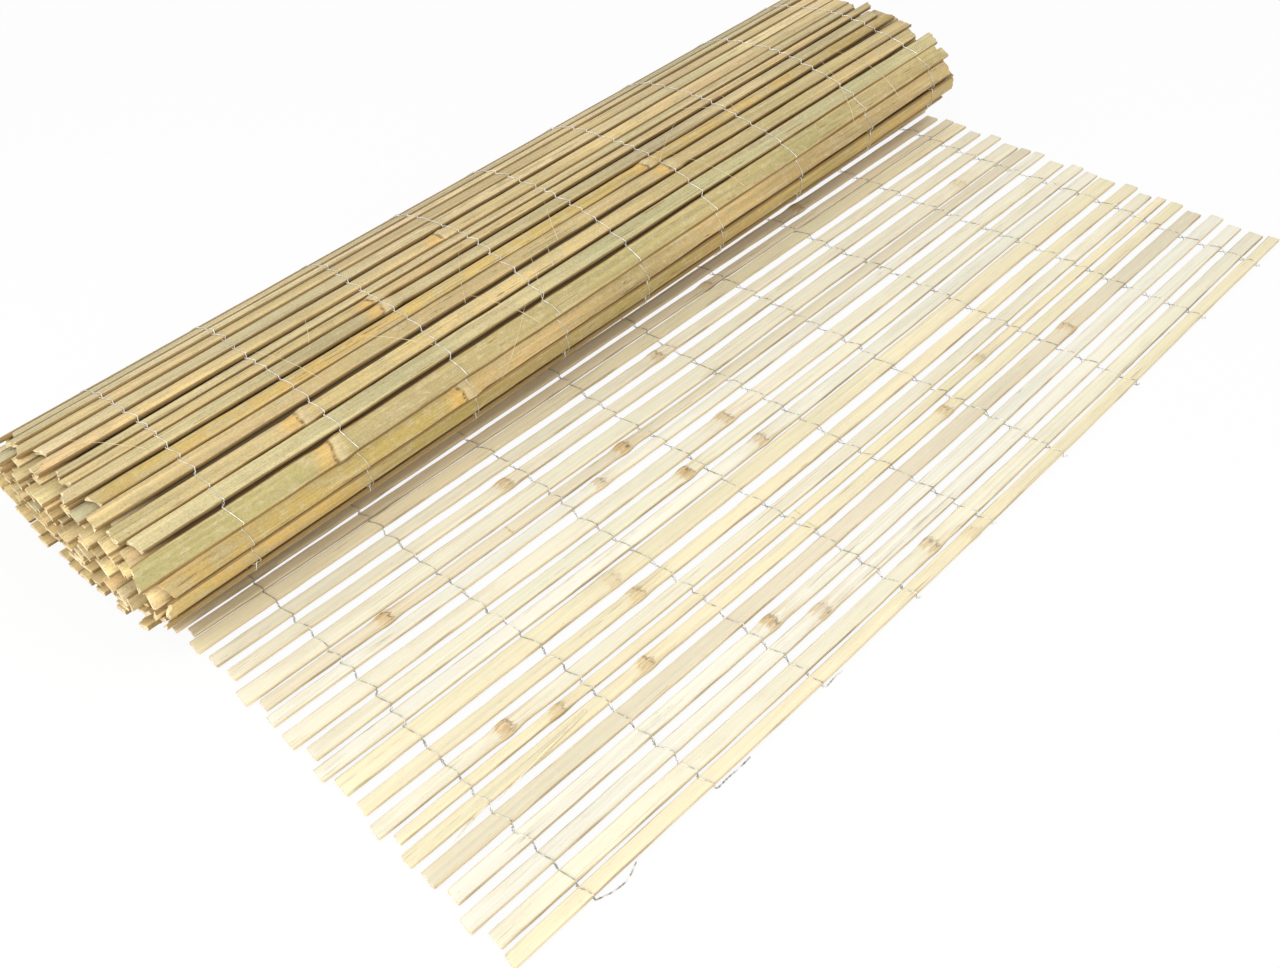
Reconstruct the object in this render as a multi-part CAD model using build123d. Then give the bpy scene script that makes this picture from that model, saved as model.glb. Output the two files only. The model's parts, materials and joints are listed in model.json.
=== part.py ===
# Bamboo screening mat, partly rolled out. Split bamboo slats lie side by side and are tied
# in rows by two-strand wire. The front of the mat lies flat, the rest is a flattened roll.
# X runs along the slats, the flat part points to -Y, the roll lies at +Y and Z is up.
from build123d import *
import math
import os

# Slats: length, thickness, bulge of the skin side, and how unevenly the ends are sawn
SLAT_LENGTH = 1000.0
SLAT_THICKNESS = 4.0
SKIN_CROWN = 0.6
END_RAGGED = 4.0
# The saw cut wanders from slat to slat by this many radians of its wave
SAW_WANDER = 2.4
# Width of each flat slat and of the gap behind it, from the front edge back to the roll
SLAT_WIDTHS = (11.0, 14.0, 13.0, 13.0, 14.5, 12.0, 9.0, 12.5, 13.0, 17.5, 13.5, 13.5, 16.0,
               11.0, 11.5, 17.0, 13.0, 13.0, 14.5, 10.5, 14.0, 14.0, 15.0, 13.0, 15.0)
SLAT_GAPS = (3.5, 7.5, 8.5, 7.0, 7.5, 6.5, 5.0, 7.5, 9.5, 4.0, 5.0, 6.5, 10.5,
             5.0, 3.0, 9.0, 9.0, 9.0, 2.5, 6.0, 6.0, 7.0, 7.0, 7.0, 7.0)
# Bamboo nodes left on the slats: slat, wire bay that it lies in, share of the way across it
KNOT_LENGTH = 14.0
KNOT_CREST = 6.0
KNOT_HEIGHT = 1.2
KNOTS = ((0, 4, 0.82), (1, 4, 0.50), (2, 3, 0.46), (3, 3, 0.15), (4, 7, 0.25), (5, 2, 0.38),
         (5, 5, 0.80), (6, 1, 0.76), (6, 6, 0.49), (7, 1, 0.43), (8, 2, 0.75), (9, 2, 0.72),
         (10, 4, 0.56), (11, 3, 0.85), (12, 4, 0.57), (13, 3, 0.33), (14, 1, 0.46),
         (14, 3, 0.73), (15, 8, 0.47), (16, 2, 0.84), (17, 4, 0.80), (19, 5, 0.84), (20, 7, 0.25))

# Tie wires: strand size, margin at the slat ends, steepest slope in a gap, loose tail at the front
WIRE_DIAMETER = 0.9
WIRE_MARGIN = 60.0
TWIST_SLOPE = 60.0
TAIL_LENGTH = 35.0
# Each wire row's drift from even spacing, and so the number of rows
WIRE_DRIFT = (3.5, 1.0, 9.0, 7.0, -3.0, -4.0, 1.0, 13.0, 15.0)

# Roll: outer size of its flattened oval, how square the oval is, its slant and its offset
ROLL_WIDTH = 264.0
ROLL_HEIGHT = 112.0
OVAL_POWER = 2.3
ROLL_SKEW = 1.2
ROLL_OFFSET = -10.0
ROLL_RAGGED = 8.0
ROLL_GAP = 2.5
# How far the outer slats are let into the turn below, and the turns left round the core's fold
SLAT_BITE = 1.6
CORE_TURNS = 2
# Shares of the outer turn that its slats take, from the floor in front over the top and back
ROLL_SHARES = (19, 19, 20, 19, 20, 18, 20, 22, 20, 20.5, 18.5, 18.5, 20.5, 17.5, 16, 14.5,
               14.5, 20, 18, 19, 17, 20, 18, 16, 19, 18, 20, 17, 19, 18, 20, 17, 19)
CORE_HEIGHT = 12.0
INNER_END_WIDTH = 13.0
INNER_END_THICKNESS = 3.2

# Values that follow from the sizes above
TURN = 2 * math.pi
LAYER = SLAT_THICKNESS + WIRE_DIAMETER
SLAT_TOP = WIRE_DIAMETER + SLAT_THICKNESS
ROW_STEP = (SLAT_LENGTH - 2 * WIRE_MARGIN) / (len(WIRE_DRIFT) - 1)
ROWS = [i * ROW_STEP + WIRE_MARGIN - SLAT_LENGTH / 2 + drift for i, drift in enumerate(WIRE_DRIFT)]
FLAT_DEPTH = sum(SLAT_WIDTHS) + sum(SLAT_GAPS)

# Counts: facets of an inner turn, samples along a turn, and every how many inner slats stand proud
FACETS_PER_TURN = 22
FINE_STEPS = 720
END_SPREAD = 3
# The last flat slats fan out to meet the slant of the roll
FIRST_FANNED = 20


def ragged(number, phase, amount):
    """Uneven saw cut at a slat's end, the same each time for the same slat."""
    return amount * math.sin(SAW_WANDER * number + phase)


def slat_angle(slat):
    """Slant in degrees of a flat slat: none in front, nearly the roll's slant at the back."""
    steps = len(SLAT_WIDTHS) - FIRST_FANNED + 1
    return ROLL_SKEW * max(0, slat - FIRST_FANNED + 1) / steps


def slat_middle(slat):
    """Y of a flat slat's centre line, with the roll's first slat starting at zero."""
    in_front = sum(SLAT_WIDTHS[:slat]) + sum(SLAT_GAPS[:slat])
    return in_front + SLAT_WIDTHS[slat] / 2 - FLAT_DEPTH


def across(x, y, z):
    """Plane square to the slats, with Y to its right and Z up."""
    return Plane(origin=(x, y, z), x_dir=(0, 1, 0), z_dir=(1, 0, 0))


def slat_section(width, depth, crown_side):
    """Split bamboo section: flat pith side, straight split sides and a bulged skin side."""
    half = width / 2
    skin = ThreePointArc((-half, -SKIN_CROWN), (0, 0), (half, -SKIN_CROWN))
    body = Polyline((half, -SKIN_CROWN), (half, -depth), (-half, -depth), (-half, -SKIN_CROWN))
    section = make_face([*skin.edges(), *body.edges()])
    return section if crown_side > 0 else mirror(section, Plane.XZ)


def flat_slat(slat):
    """One slat of the flat part, skin side down, with its bamboo nodes on the pith side."""
    width = SLAT_WIDTHS[slat]
    near = -SLAT_LENGTH / 2 + ragged(slat, 0, END_RAGGED)
    far = SLAT_LENGTH / 2 + ragged(slat, 1, END_RAGGED)
    section = slat_section(width, SLAT_THICKNESS, -1)
    solid = extrude(across(near, 0, WIRE_DIAMETER) * section, far - near)
    for owner, bay, share in KNOTS:
        if owner == slat:
            solid += knot(ROWS[bay - 1] + share * (ROWS[bay] - ROWS[bay - 1]), width)
    return Pos(0, slat_middle(slat), 0) * Rot(0, 0, slat_angle(slat)) * solid


def knot(x, width):
    """Low ridge that a bamboo node leaves across the pith side of a slat."""
    profile = Polygon((-KNOT_LENGTH / 2, 0), (KNOT_LENGTH / 2, 0), (KNOT_CREST / 2, KNOT_HEIGHT),
                      (-KNOT_CREST / 2, KNOT_HEIGHT), align=None)
    side = Plane(origin=(x, width / 2, SLAT_TOP), x_dir=(1, 0, 0), z_dir=(0, -1, 0))
    return extrude(side * profile, width)


def strand(points, outward):
    """Wire strand along a path, with its flat side on the path and its ridge pointing outward."""
    start = Vector(points[0])
    heading = (Vector(points[1]) - start).normalized()
    place = Plane(origin=start, x_dir=heading.cross(Vector(outward)), z_dir=heading)
    half = WIRE_DIAMETER / 2
    tip = WIRE_DIAMETER if place.y_dir.dot(Vector(outward)) > 0 else -WIRE_DIAMETER
    section = place * Polygon((-half, 0), (half, 0), (0, tip), align=None)
    return sweep(section, path=Polyline(*points), transition=Transition.RIGHT)


def slat_edges(slat, x):
    """Front and back edge of a flat slat where a wire row crosses it."""
    angle = math.radians(slat_angle(slat))
    middle = slat_middle(slat) + x * math.tan(angle)
    half = SLAT_WIDTHS[slat] / 2 / math.cos(angle)
    return middle - half, middle + half


def roll_edge(x):
    """Y where a wire row passes from the flat part to the roll."""
    return (x - ROLL_OFFSET) * math.tan(math.radians(ROLL_SKEW))


def dip(front, back):
    """Height of the upper strand half way across a gap: down to the lower strand if it can."""
    return SLAT_TOP - min(SLAT_THICKNESS, (back - front) * math.sin(math.radians(TWIST_SLOPE)))


def flat_wire(row):
    """One wire row of the flat part: a strand over the slats and one under, twisted in each gap."""
    x = ROWS[row]
    first_front = slat_edges(0, x)[0]
    front_end = first_front - SLAT_GAPS[0] / 2
    back_end = roll_edge(x) - WIRE_DIAMETER
    path = [(x, front_end, dip(front_end, first_front + SLAT_GAPS[0] / 2))]
    for slat in range(len(SLAT_WIDTHS)):
        front, back = slat_edges(slat, x)
        is_last = slat == len(SLAT_WIDTHS) - 1
        behind = back_end if is_last else slat_edges(slat + 1, x)[0]
        path += [(x, front, SLAT_TOP), (x, back, SLAT_TOP)]
        path.append((x, behind if is_last else (back + behind) / 2, dip(back, behind)))
    upper = strand(path, (0, 0, 1))
    lower = Pos(x, front_end, 0) * Box(WIRE_DIAMETER, back_end - front_end, WIRE_DIAMETER,
                                       align=(Align.CENTER, Align.MIN, Align.MIN))
    tail = Pos(x, front_end, 0) * Box(TAIL_LENGTH, WIRE_DIAMETER, WIRE_DIAMETER,
                                      align=(Align.MIN, Align.MAX, Align.MIN))
    return [upper, lower + tail]


def signed_power(value, power):
    """Power of a value that keeps its sign."""
    return math.copysign(abs(value) ** power, value)


def oval(angle, inset):
    """Point of the roll's spiral section at a turn angle from the floor, inset below its skin."""
    depth = inset + LAYER * angle / TURN
    across_roll = (ROLL_WIDTH / 2 - depth) * signed_power(math.sin(angle), 2 / OVAL_POWER)
    height = (ROLL_HEIGHT / 2 - depth) * signed_power(-math.cos(angle), 2 / OVAL_POWER)
    return Vector(0, across_roll, height)


def angles_along(start, stop, shares):
    """Turn angles that divide a stretch of the roll's skin by length into the given shares."""
    angles = [start + (stop - start) * i / FINE_STEPS for i in range(FINE_STEPS + 1)]
    points = [oval(angle, 0) for angle in angles]
    run = [0.0]
    for here, there in zip(points, points[1:]):
        run.append(run[-1] + (there - here).length)
    found, reach, sample = [start], 0.0, 0
    for share in shares[:-1]:
        reach += share * run[-1] / sum(shares)
        while run[sample] < reach:
            sample += 1
        found.append(angles[sample])
    return [*found, stop]


def spiral_end():
    """Turn angle at which the turns have closed in on the flat core."""
    return TURN * (ROLL_HEIGHT / 2 - SLAT_THICKNESS - CORE_HEIGHT / 2) / LAYER


def facet_angles(start, stop):
    """Evenly spaced turn angles for the facets of the inner turns."""
    count = math.ceil(FACETS_PER_TURN * (stop - start) / TURN)
    return [start + (stop - start) * i / count for i in range(count + 1)]


def inner_angles():
    """Facets of the turns below the outer one, from one facet past its start to the core."""
    return facet_angles(TURN + TURN / FACETS_PER_TURN, spiral_end())


def section_face(points):
    """Closed face in the roll's section from points on the spiral."""
    return Face(Wire.make_polygon(points, close=True))


def inner_turns():
    """Everything under the outer turn: one oval body with a slit along the spiral between turns."""
    half = SLAT_LENGTH / 2 - ROLL_RAGGED
    filled = section_face([oval(angle, SLAT_THICKNESS) for angle in facet_angles(0, TURN)])
    outer_lip = [oval(angle, SLAT_THICKNESS) for angle in inner_angles()]
    inner_lip = [oval(angle, LAYER) for angle in inner_angles()]
    slit = section_face([*outer_lip, *reversed(inner_lip)])
    last_back = spiral_end() - spiral_end() % TURN + TURN / 4
    fold = oval(last_back, LAYER).Y - CORE_TURNS * LAYER
    core_slit = across(0, 0, 0) * Rectangle(2 * fold, WIRE_DIAMETER)
    return Pos(-half, 0, 0) * extrude(filled - slit - core_slit, 2 * half, dir=(1, 0, 0))


def inner_end(start, stop, x, length):
    """End of a slat of the inner turns that stands proud of its neighbours, on one facet."""
    place = Plane(origin=(start + stop) / 2 + Vector(x, 0, 0), x_dir=stop - start, z_dir=(1, 0, 0))
    return extrude(place * Rectangle(INNER_END_WIDTH, INNER_END_THICKNESS), length)


def inner_ends():
    """Slat ends of the inner turns that show at both ends of the roll."""
    half = SLAT_LENGTH / 2 - ROLL_RAGGED
    middles = [oval(angle, SLAT_THICKNESS / 2) for angle in inner_angles()]
    ends = []
    for number, (start, stop) in enumerate(zip(middles, middles[1:])):
        length = ROLL_RAGGED + ragged(number, 0, ROLL_RAGGED / 2)
        if (stop - start).length < INNER_END_WIDTH + ROLL_GAP:
            continue
        if number % END_SPREAD == 0:
            ends.append(inner_end(start, stop, -half, -length))
        elif number % END_SPREAD == 1:
            ends.append(inner_end(start, stop, half, length))
    return ends


def outer_marks():
    """Mid-gap points of the outer turn, from the floor in front over the top to the floor."""
    return [oval(angle, 0) for angle in angles_along(TURN, 0, ROLL_SHARES)]


def outer_slat(number, start, stop):
    """One slat of the outer turn, skin side out, let into the turn below."""
    chord = stop - start
    near = -SLAT_LENGTH / 2 + ragged(number, 2, ROLL_RAGGED)
    far = SLAT_LENGTH / 2 + ragged(number, 3, ROLL_RAGGED)
    place = Plane(origin=(start + stop) / 2 + Vector(near, 0, 0), x_dir=chord, z_dir=(1, 0, 0))
    section = slat_section(chord.length - ROLL_GAP, SLAT_THICKNESS + SLAT_BITE, 1)
    return extrude(place * section, far - near)


def seat_roll(shape):
    """Put a shape of the roll where the roll lies: on its lowest wires, slanted and offset."""
    return Pos(ROLL_OFFSET, 0, ROLL_HEIGHT / 2 + WIRE_DIAMETER) * Rot(0, 0, ROLL_SKEW) * shape


def rolled_turns():
    """The rolled part of the mat, all of its turns as one solid."""
    marks = outer_marks()
    outer = [outer_slat(i, *pair) for i, pair in enumerate(zip(marks, marks[1:]))]
    return seat_roll(inner_turns().fuse(*outer, *inner_ends()))


def roll_wire(row):
    """Wire row round the outer turn, from the flat part's wire to the nip under the front."""
    x = ROWS[row] - ROLL_OFFSET
    marks = outer_marks()
    clear = -ROLL_HEIGHT / 2 + LAYER + 2 * WIRE_DIAMETER
    first = next(i for i, mark in enumerate(marks) if mark.Z > clear)
    path = [(x, mark.Y, mark.Z) for mark in reversed(marks[first:])]
    return seat_roll(strand(path, (0, 0, -1)))


def build_nodes():
    """Every piece of the mat under its own name."""
    nodes = {f"slat_{i + 1:02d}": [flat_slat(i)] for i in range(len(SLAT_WIDTHS))}
    nodes.update({f"tie_wire_{i + 1}": flat_wire(i) for i in range(len(ROWS))})
    nodes["rolled_turns"] = [rolled_turns()]
    nodes.update({f"roll_wire_{i + 1}": [roll_wire(i)] for i in range(len(ROWS))})
    return nodes


def write_parts(nodes):
    """Write each node as a STEP file, with the origin under the middle of the whole part."""
    os.makedirs("parts", exist_ok=True)
    box = Compound(children=[Compound(children=pieces) for pieces in nodes.values()]).bounding_box()
    to_origin = Pos(-box.center().X, -box.center().Y, -box.min.Z)
    for name, pieces in nodes.items():
        solids = [to_origin * solid for piece in pieces for solid in piece.solids()]
        shape = solids[0] if len(solids) == 1 else Compound(children=solids)
        export_step(shape, f"parts/{name}.step")


write_parts(build_nodes())
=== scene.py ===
"""Bamboo screening mat, partly rolled out: the looks of its slats, its roll and its tie wires.

Each slat is a surface worked out along its length and round its section. The wires are profiles carried
along the twisted paths that hold the slats. All sizes are in metres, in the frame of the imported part.
"""

from __future__ import annotations

import json
import logging
import math
from dataclasses import dataclass, field
from enum import Enum

import bpy
import numpy as np
from mathutils import Matrix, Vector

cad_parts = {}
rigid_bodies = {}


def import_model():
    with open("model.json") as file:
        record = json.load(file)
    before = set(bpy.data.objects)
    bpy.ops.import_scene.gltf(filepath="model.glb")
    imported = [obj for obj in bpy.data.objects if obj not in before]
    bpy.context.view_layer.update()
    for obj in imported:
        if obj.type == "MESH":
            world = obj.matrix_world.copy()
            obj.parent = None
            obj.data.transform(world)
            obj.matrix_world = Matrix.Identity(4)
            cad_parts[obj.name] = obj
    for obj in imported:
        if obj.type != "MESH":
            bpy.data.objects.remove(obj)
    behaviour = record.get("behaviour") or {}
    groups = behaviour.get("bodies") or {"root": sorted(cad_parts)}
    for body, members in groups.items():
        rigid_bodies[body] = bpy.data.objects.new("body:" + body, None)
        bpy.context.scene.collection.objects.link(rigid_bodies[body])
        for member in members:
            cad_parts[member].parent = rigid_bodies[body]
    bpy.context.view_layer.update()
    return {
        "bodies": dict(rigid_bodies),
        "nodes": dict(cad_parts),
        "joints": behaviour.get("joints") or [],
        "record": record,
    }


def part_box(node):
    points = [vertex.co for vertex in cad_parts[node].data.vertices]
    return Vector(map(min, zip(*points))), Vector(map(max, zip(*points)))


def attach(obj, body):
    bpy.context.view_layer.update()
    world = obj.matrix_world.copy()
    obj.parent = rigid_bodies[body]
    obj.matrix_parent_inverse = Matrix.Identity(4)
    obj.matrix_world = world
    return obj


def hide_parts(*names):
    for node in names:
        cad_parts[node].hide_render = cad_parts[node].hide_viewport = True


log = logging.getLogger("bamboo_mat")

MM = 0.001
BODY = "root"
TURN = 2 * math.pi
UP = np.array([0.0, 0.0, 1.0])
WHITE = (1.0, 1.0, 1.0, 1.0)
NOISE_MIDDLE = 0.5

SLAT_LENGTH = 1000.0 * MM
SLAT_THICKNESS = 4.0 * MM
SKIN_CROWN = 0.6 * MM
UNDER_CROWN = 1.5 * MM
PITH_HOLLOW = 0.12 * MM
WIRE_RADIUS = 0.45 * MM
STRAND_RADIUS = 0.33 * MM
LAYER = SLAT_THICKNESS + 2 * WIRE_RADIUS

# The display curve: where its straight foot ends, the foot's slope, and the offset and power above it
CURVE_FOOT, CURVE_SLOPE, CURVE_OFFSET, CURVE_POWER = 0.04045, 12.92, 0.055, 2.4


def to_linear(display: np.ndarray) -> np.ndarray:
    """Turn display values from 0 to 1 into linear light, by the usual curve with its straight foot."""
    curved = ((display + CURVE_OFFSET) / (1.0 + CURVE_OFFSET)) ** CURVE_POWER
    return np.where(display <= CURVE_FOOT, display / CURVE_SLOPE, curved)


def smooth_step(low: float, high: float, value: np.ndarray) -> np.ndarray:
    """Rise from 0 where the value is low to 1 where it is high, along 3t^2 - 2t^3."""
    share = np.clip((value - low) / (high - low), 0.0, 1.0)
    return share * share * (3.0 - 2.0 * share)


def hump(away: np.ndarray, breadth: float) -> np.ndarray:
    """A bell that is 1 in its middle and falls off as the exponent of -(away / breadth)^2."""
    return np.exp(-((away / breadth) ** 2))


def unit(vectors: np.ndarray) -> np.ndarray:
    """Vectors divided by their own lengths."""
    return vectors / np.linalg.norm(vectors, axis=-1, keepdims=True)


def link(name: str, data: bpy.types.ID) -> bpy.types.Object:
    """Put a mesh, a lamp or a camera into the scene.

    Args:
        name: Name of the object.
        data: What the object holds.

    Returns:
        The new object, at the origin.
    """
    made = bpy.data.objects.new(name, data)
    bpy.context.scene.collection.objects.link(made)
    return made


class Side(Enum):
    """Face of a split slat that lies uppermost, or outermost in the roll."""

    PITH = "pith"
    SKIN = "skin"


class Kind(Enum):
    """What a face of a slat is: its upper or lower side, a split edge or a sawn end."""

    UPPER = 0.0
    SPLIT = 1.0
    LOWER = 2.0
    SAWN = 3.0


class Tone(Enum):
    """Tones of this mat's bamboo and of its wire, as a display shows them."""

    IVORY = (0.938, 0.920, 0.845)
    CREAM = (0.938, 0.910, 0.808)
    STRAW = (0.942, 0.895, 0.748)
    BEIGE = (0.892, 0.848, 0.735)
    TAUPE = (0.885, 0.820, 0.690)
    ASHEN = (0.925, 0.870, 0.760)
    OLIVE = (0.735, 0.665, 0.445)
    GOLD = (0.775, 0.665, 0.400)
    TAN = (0.790, 0.702, 0.490)
    GREY_TAN = (0.765, 0.702, 0.520)
    PALE_GREEN = (0.800, 0.752, 0.555)
    ORANGE_TAN = (0.775, 0.665, 0.455)
    WEATHERED = (0.815, 0.760, 0.595)
    BLEACHED = (0.850, 0.775, 0.585)
    HEARTWOOD = (0.850, 0.745, 0.530)
    HONEY = (0.925, 0.825, 0.590)
    SAWN = (0.955, 0.885, 0.715)
    SIDE = (0.890, 0.815, 0.640)
    OCHRE = (0.770, 0.620, 0.380)
    AMBER = (0.900, 0.725, 0.400)
    KNOT = (0.650, 0.490, 0.270)
    DARK = (0.430, 0.300, 0.150)
    SHADE = (0.560, 0.440, 0.250)
    # Dark brown of the painted shade deep in the roll
    DEEP_SHADE = (0.270, 0.185, 0.075)
    # Zinc of the wire: the flat part's darker grey is painted shade, the roll's paler tones are painted
    # highlight
    PALE_ZINC = (0.940, 0.930, 0.900)
    DULL_SHADED_ZINC = (0.580, 0.570, 0.520)
    HIGHLIT_ZINC = (0.970, 0.970, 0.950)
    DULL_HIGHLIT_ZINC = (0.800, 0.800, 0.770)

    @property
    def linear(self) -> np.ndarray:
        """The tone in linear light."""
        return to_linear(np.array(self.value))

    @property
    def rgba(self) -> tuple[float, ...]:
        """The tone as a node's colour socket takes it."""
        return (*self.linear.tolist(), 1.0)


class Wander:
    """Smooth seeded noise along a line: random heights a step apart, joined by smooth steps."""

    SIZE = 256

    def __init__(self, seed: int, step: float, columns: int = 1) -> None:
        """Draw the heights.

        Args:
            seed: Seed of the random draw.
            step: Distance between two heights.
            columns: How many such lines run side by side.
        """
        self.step = step
        self.heights = np.random.default_rng(seed).uniform(-1.0, 1.0, (self.SIZE, columns))

    def __call__(self, x: np.ndarray) -> np.ndarray:
        """Read the noise.

        Args:
            x: Places along the line.

        Returns:
            One row for each place and one column for each line, from -1 to 1.
        """
        place = x / self.step
        below = np.floor(place).astype(int)
        share = smooth_step(0.0, 1.0, place - below)[:, None]
        low = self.heights[below % self.SIZE]
        return low + (self.heights[(below + 1) % self.SIZE] - low) * share


@dataclass(frozen=True)
class Corner:
    """How a slat's corners are broken, in shares of its half width and of its height.

    The broad faces end at face. From there the edge goes down through points at reach and level.
    """

    face: float
    reach: tuple[float, ...]
    level: tuple[float, ...]


ROUNDED_CORNER = Corner(0.88, (0.96, 1.0, 1.0, 0.96), (0.94, 0.74, 0.26, 0.06))
BROKEN_CORNER = Corner(0.94, (1.0, 1.0), (0.8, 0.2))


@dataclass(frozen=True)
class Section:
    """Outline of a split slat: shares of its half width, of its height, and what each strip is."""

    across: np.ndarray
    height: np.ndarray
    strips: np.ndarray

    @classmethod
    def cut(cls, columns: int, corner: Corner) -> Section:
        """Make a section with broken corners.

        Args:
            columns: Points on each broad face.
            corner: How the corners are broken.

        Returns:
            The section, clockwise seen from the far end of the slat.
        """
        face = np.linspace(-corner.face, corner.face, columns)
        reach, level = np.array(corner.reach), np.array(corner.level)
        across = np.concatenate([face, reach, face[::-1], -reach])
        height = np.concatenate([np.ones(columns), level, np.zeros(columns), level[::-1]])
        edge = [Kind.SPLIT.value] * (len(reach) + 1)
        upper = [Kind.UPPER.value] * (columns - 1)
        lower = [Kind.LOWER.value] * (columns - 1)
        return cls(across, height, np.array([*upper, *edge, *lower, *edge]))


class MeshBuilder:
    """Collects closed tubes of points and makes one mesh of them, with what its finish reads.

    The finish reads a tone, the kind of each face, and these values. Of each ring: the strength of the
    bamboo node next to it from 0 to 1, how far away in millimetres that node is, and the painted shade from 0
    to 1 deep in the roll. Of each place round the tube: where it lies across, from -1 to 1 between the edges.
    """

    # The last ring value is the painted shade that darkens what lies deep in the roll
    RING_VALUES = ("knot", "away", "gloom")
    SHARP_ANGLE = math.radians(70.0)

    def __init__(self) -> None:
        """Start with nothing collected."""
        self.points: list[np.ndarray] = []
        self.tones: list[np.ndarray] = []
        self.values: dict[str, list[np.ndarray]] = {label: [] for label in (*self.RING_VALUES, "across")}
        self.quads: list[np.ndarray] = []
        self.fans: list[np.ndarray] = []
        self.kinds: list[np.ndarray] = []
        self.total = 0

    def add(self, grid: np.ndarray, tone: np.ndarray | None = None, strips: np.ndarray | float = 0.0,
            across: np.ndarray | float = 0.0, **along: np.ndarray) -> None:
        """Add a tube: rings of points along it, joined by quads and closed by a fan at each end.

        Args:
            grid: Points as rings along the tube by places round it by three.
            tone: Linear colour of each ring, white if not given.
            strips: What each strip round the tube is, as a value of Kind.
            across: Where each place round the tube lies between the split edges.
            along: Values of the rings under the names in RING_VALUES, 0 if not given.
        """
        rings, around, _ = grid.shape
        ends = [0, rings - 1]
        tone = np.ones((rings, 3)) if tone is None else tone
        self.points.append(np.concatenate([grid.reshape(-1, 3), grid[ends].mean(1)]))
        self.tones.append(np.concatenate([np.repeat(tone, around, 0), tone[ends]]))
        for label in self.RING_VALUES:
            values = along.get(label, np.zeros(rings))
            self.values[label].append(np.concatenate([np.repeat(values, around), values[ends]]))
        across = np.tile(np.broadcast_to(across, around), rings)
        self.values["across"].append(np.concatenate([across, np.zeros(len(ends))]))
        last = self.total + rings * around
        place = np.arange(self.total, last).reshape(rings, around)
        beside = np.roll(place, -1, 1)
        quads = np.stack([place[:-1], place[1:], beside[1:], beside[:-1]], -1)
        near = np.stack([np.full(around, last), place[0], beside[0]], -1)
        far = np.stack([np.full(around, last + 1), beside[-1], place[-1]], -1)
        self.quads.append(quads.reshape(-1, 4))
        self.fans.append(np.concatenate([near, far]))
        self.kinds.append(np.tile(np.broadcast_to(strips, around), rings - 1))
        self.total = last + len(ends)

    def make(self, name: str, material: bpy.types.Material) -> bpy.types.Object:
        """Turn what was collected into an object at the origin.

        Args:
            name: Name of the piece.
            material: Its finish.

        Returns:
            The new object, linked to the scene.
        """
        points, quads, fans = (np.concatenate(parts) for parts in (self.points, self.quads, self.fans))
        kinds = np.concatenate([*self.kinds, np.full(len(fans), Kind.SAWN.value)])
        corners = np.concatenate([quads.ravel(), fans.ravel()])
        starts = np.concatenate([np.arange(len(quads)) * 4, quads.size + np.arange(len(fans)) * 3])
        mesh = bpy.data.meshes.new(name)
        mesh.vertices.add(len(points))
        mesh.vertices.foreach_set("co", points.astype(np.float32).ravel())
        mesh.loops.add(len(corners))
        mesh.loops.foreach_set("vertex_index", corners.astype(np.int32))
        mesh.polygons.add(len(starts))
        mesh.polygons.foreach_set("loop_start", starts.astype(np.int32))
        mesh.polygons.foreach_set("use_smooth", np.ones(len(starts), dtype=bool))
        mesh.update(calc_edges=True)
        mesh.set_sharp_from_angle(angle=self.SHARP_ANGLE)
        colours = np.concatenate([np.concatenate(self.tones), np.ones((len(points), 1))], 1)
        carried = [("tone", "FLOAT_COLOR", "POINT", "color", colours),
                   ("kind", "FLOAT", "FACE", "value", kinds)]
        carried += [(label, "FLOAT", "POINT", "value", np.concatenate(values))
                    for label, values in self.values.items()]
        for label, kind, domain, key, values in carried:
            attribute = mesh.attributes.new(label, kind, domain)
            attribute.data.foreach_set(key, values.astype(np.float32).ravel())
        mesh.materials.append(material)
        return link(name, mesh)


class Shade:
    """A value in a material's nodes, with the operators that its maths uses."""

    def __init__(self, graph: Graph, socket: bpy.types.NodeSocket | None) -> None:
        """Wrap an output socket of a graph's node."""
        self.graph = graph
        self.socket = socket

    def __add__(self, other: Shade | float) -> Shade:
        """This value plus another."""
        return self.graph.math("ADD", self, other)

    def __sub__(self, other: Shade | float) -> Shade:
        """This value less another."""
        return self.graph.math("SUBTRACT", self, other)

    def __rsub__(self, other: float) -> Shade:
        """A number less this value."""
        return self.graph.math("SUBTRACT", other, self)

    def __mul__(self, other: Shade | float) -> Shade:
        """This value times another."""
        return self.graph.math("MULTIPLY", self, other)

    def __pow__(self, power: float) -> Shade:
        """This value to a power."""
        return self.graph.math("POWER", self, power)

    def __abs__(self) -> Shade:
        """The size of this value."""
        return self.graph.math("ABSOLUTE", self)

    __radd__ = __add__
    __rmul__ = __mul__


@dataclass(frozen=True)
class Grain:
    """A noise in the part's own frame: repeats in a metre along x, y and z, octaves and their strength."""

    stretch: tuple[float, float, float]
    detail: float = 2.0
    roughness: float = 0.55


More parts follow.
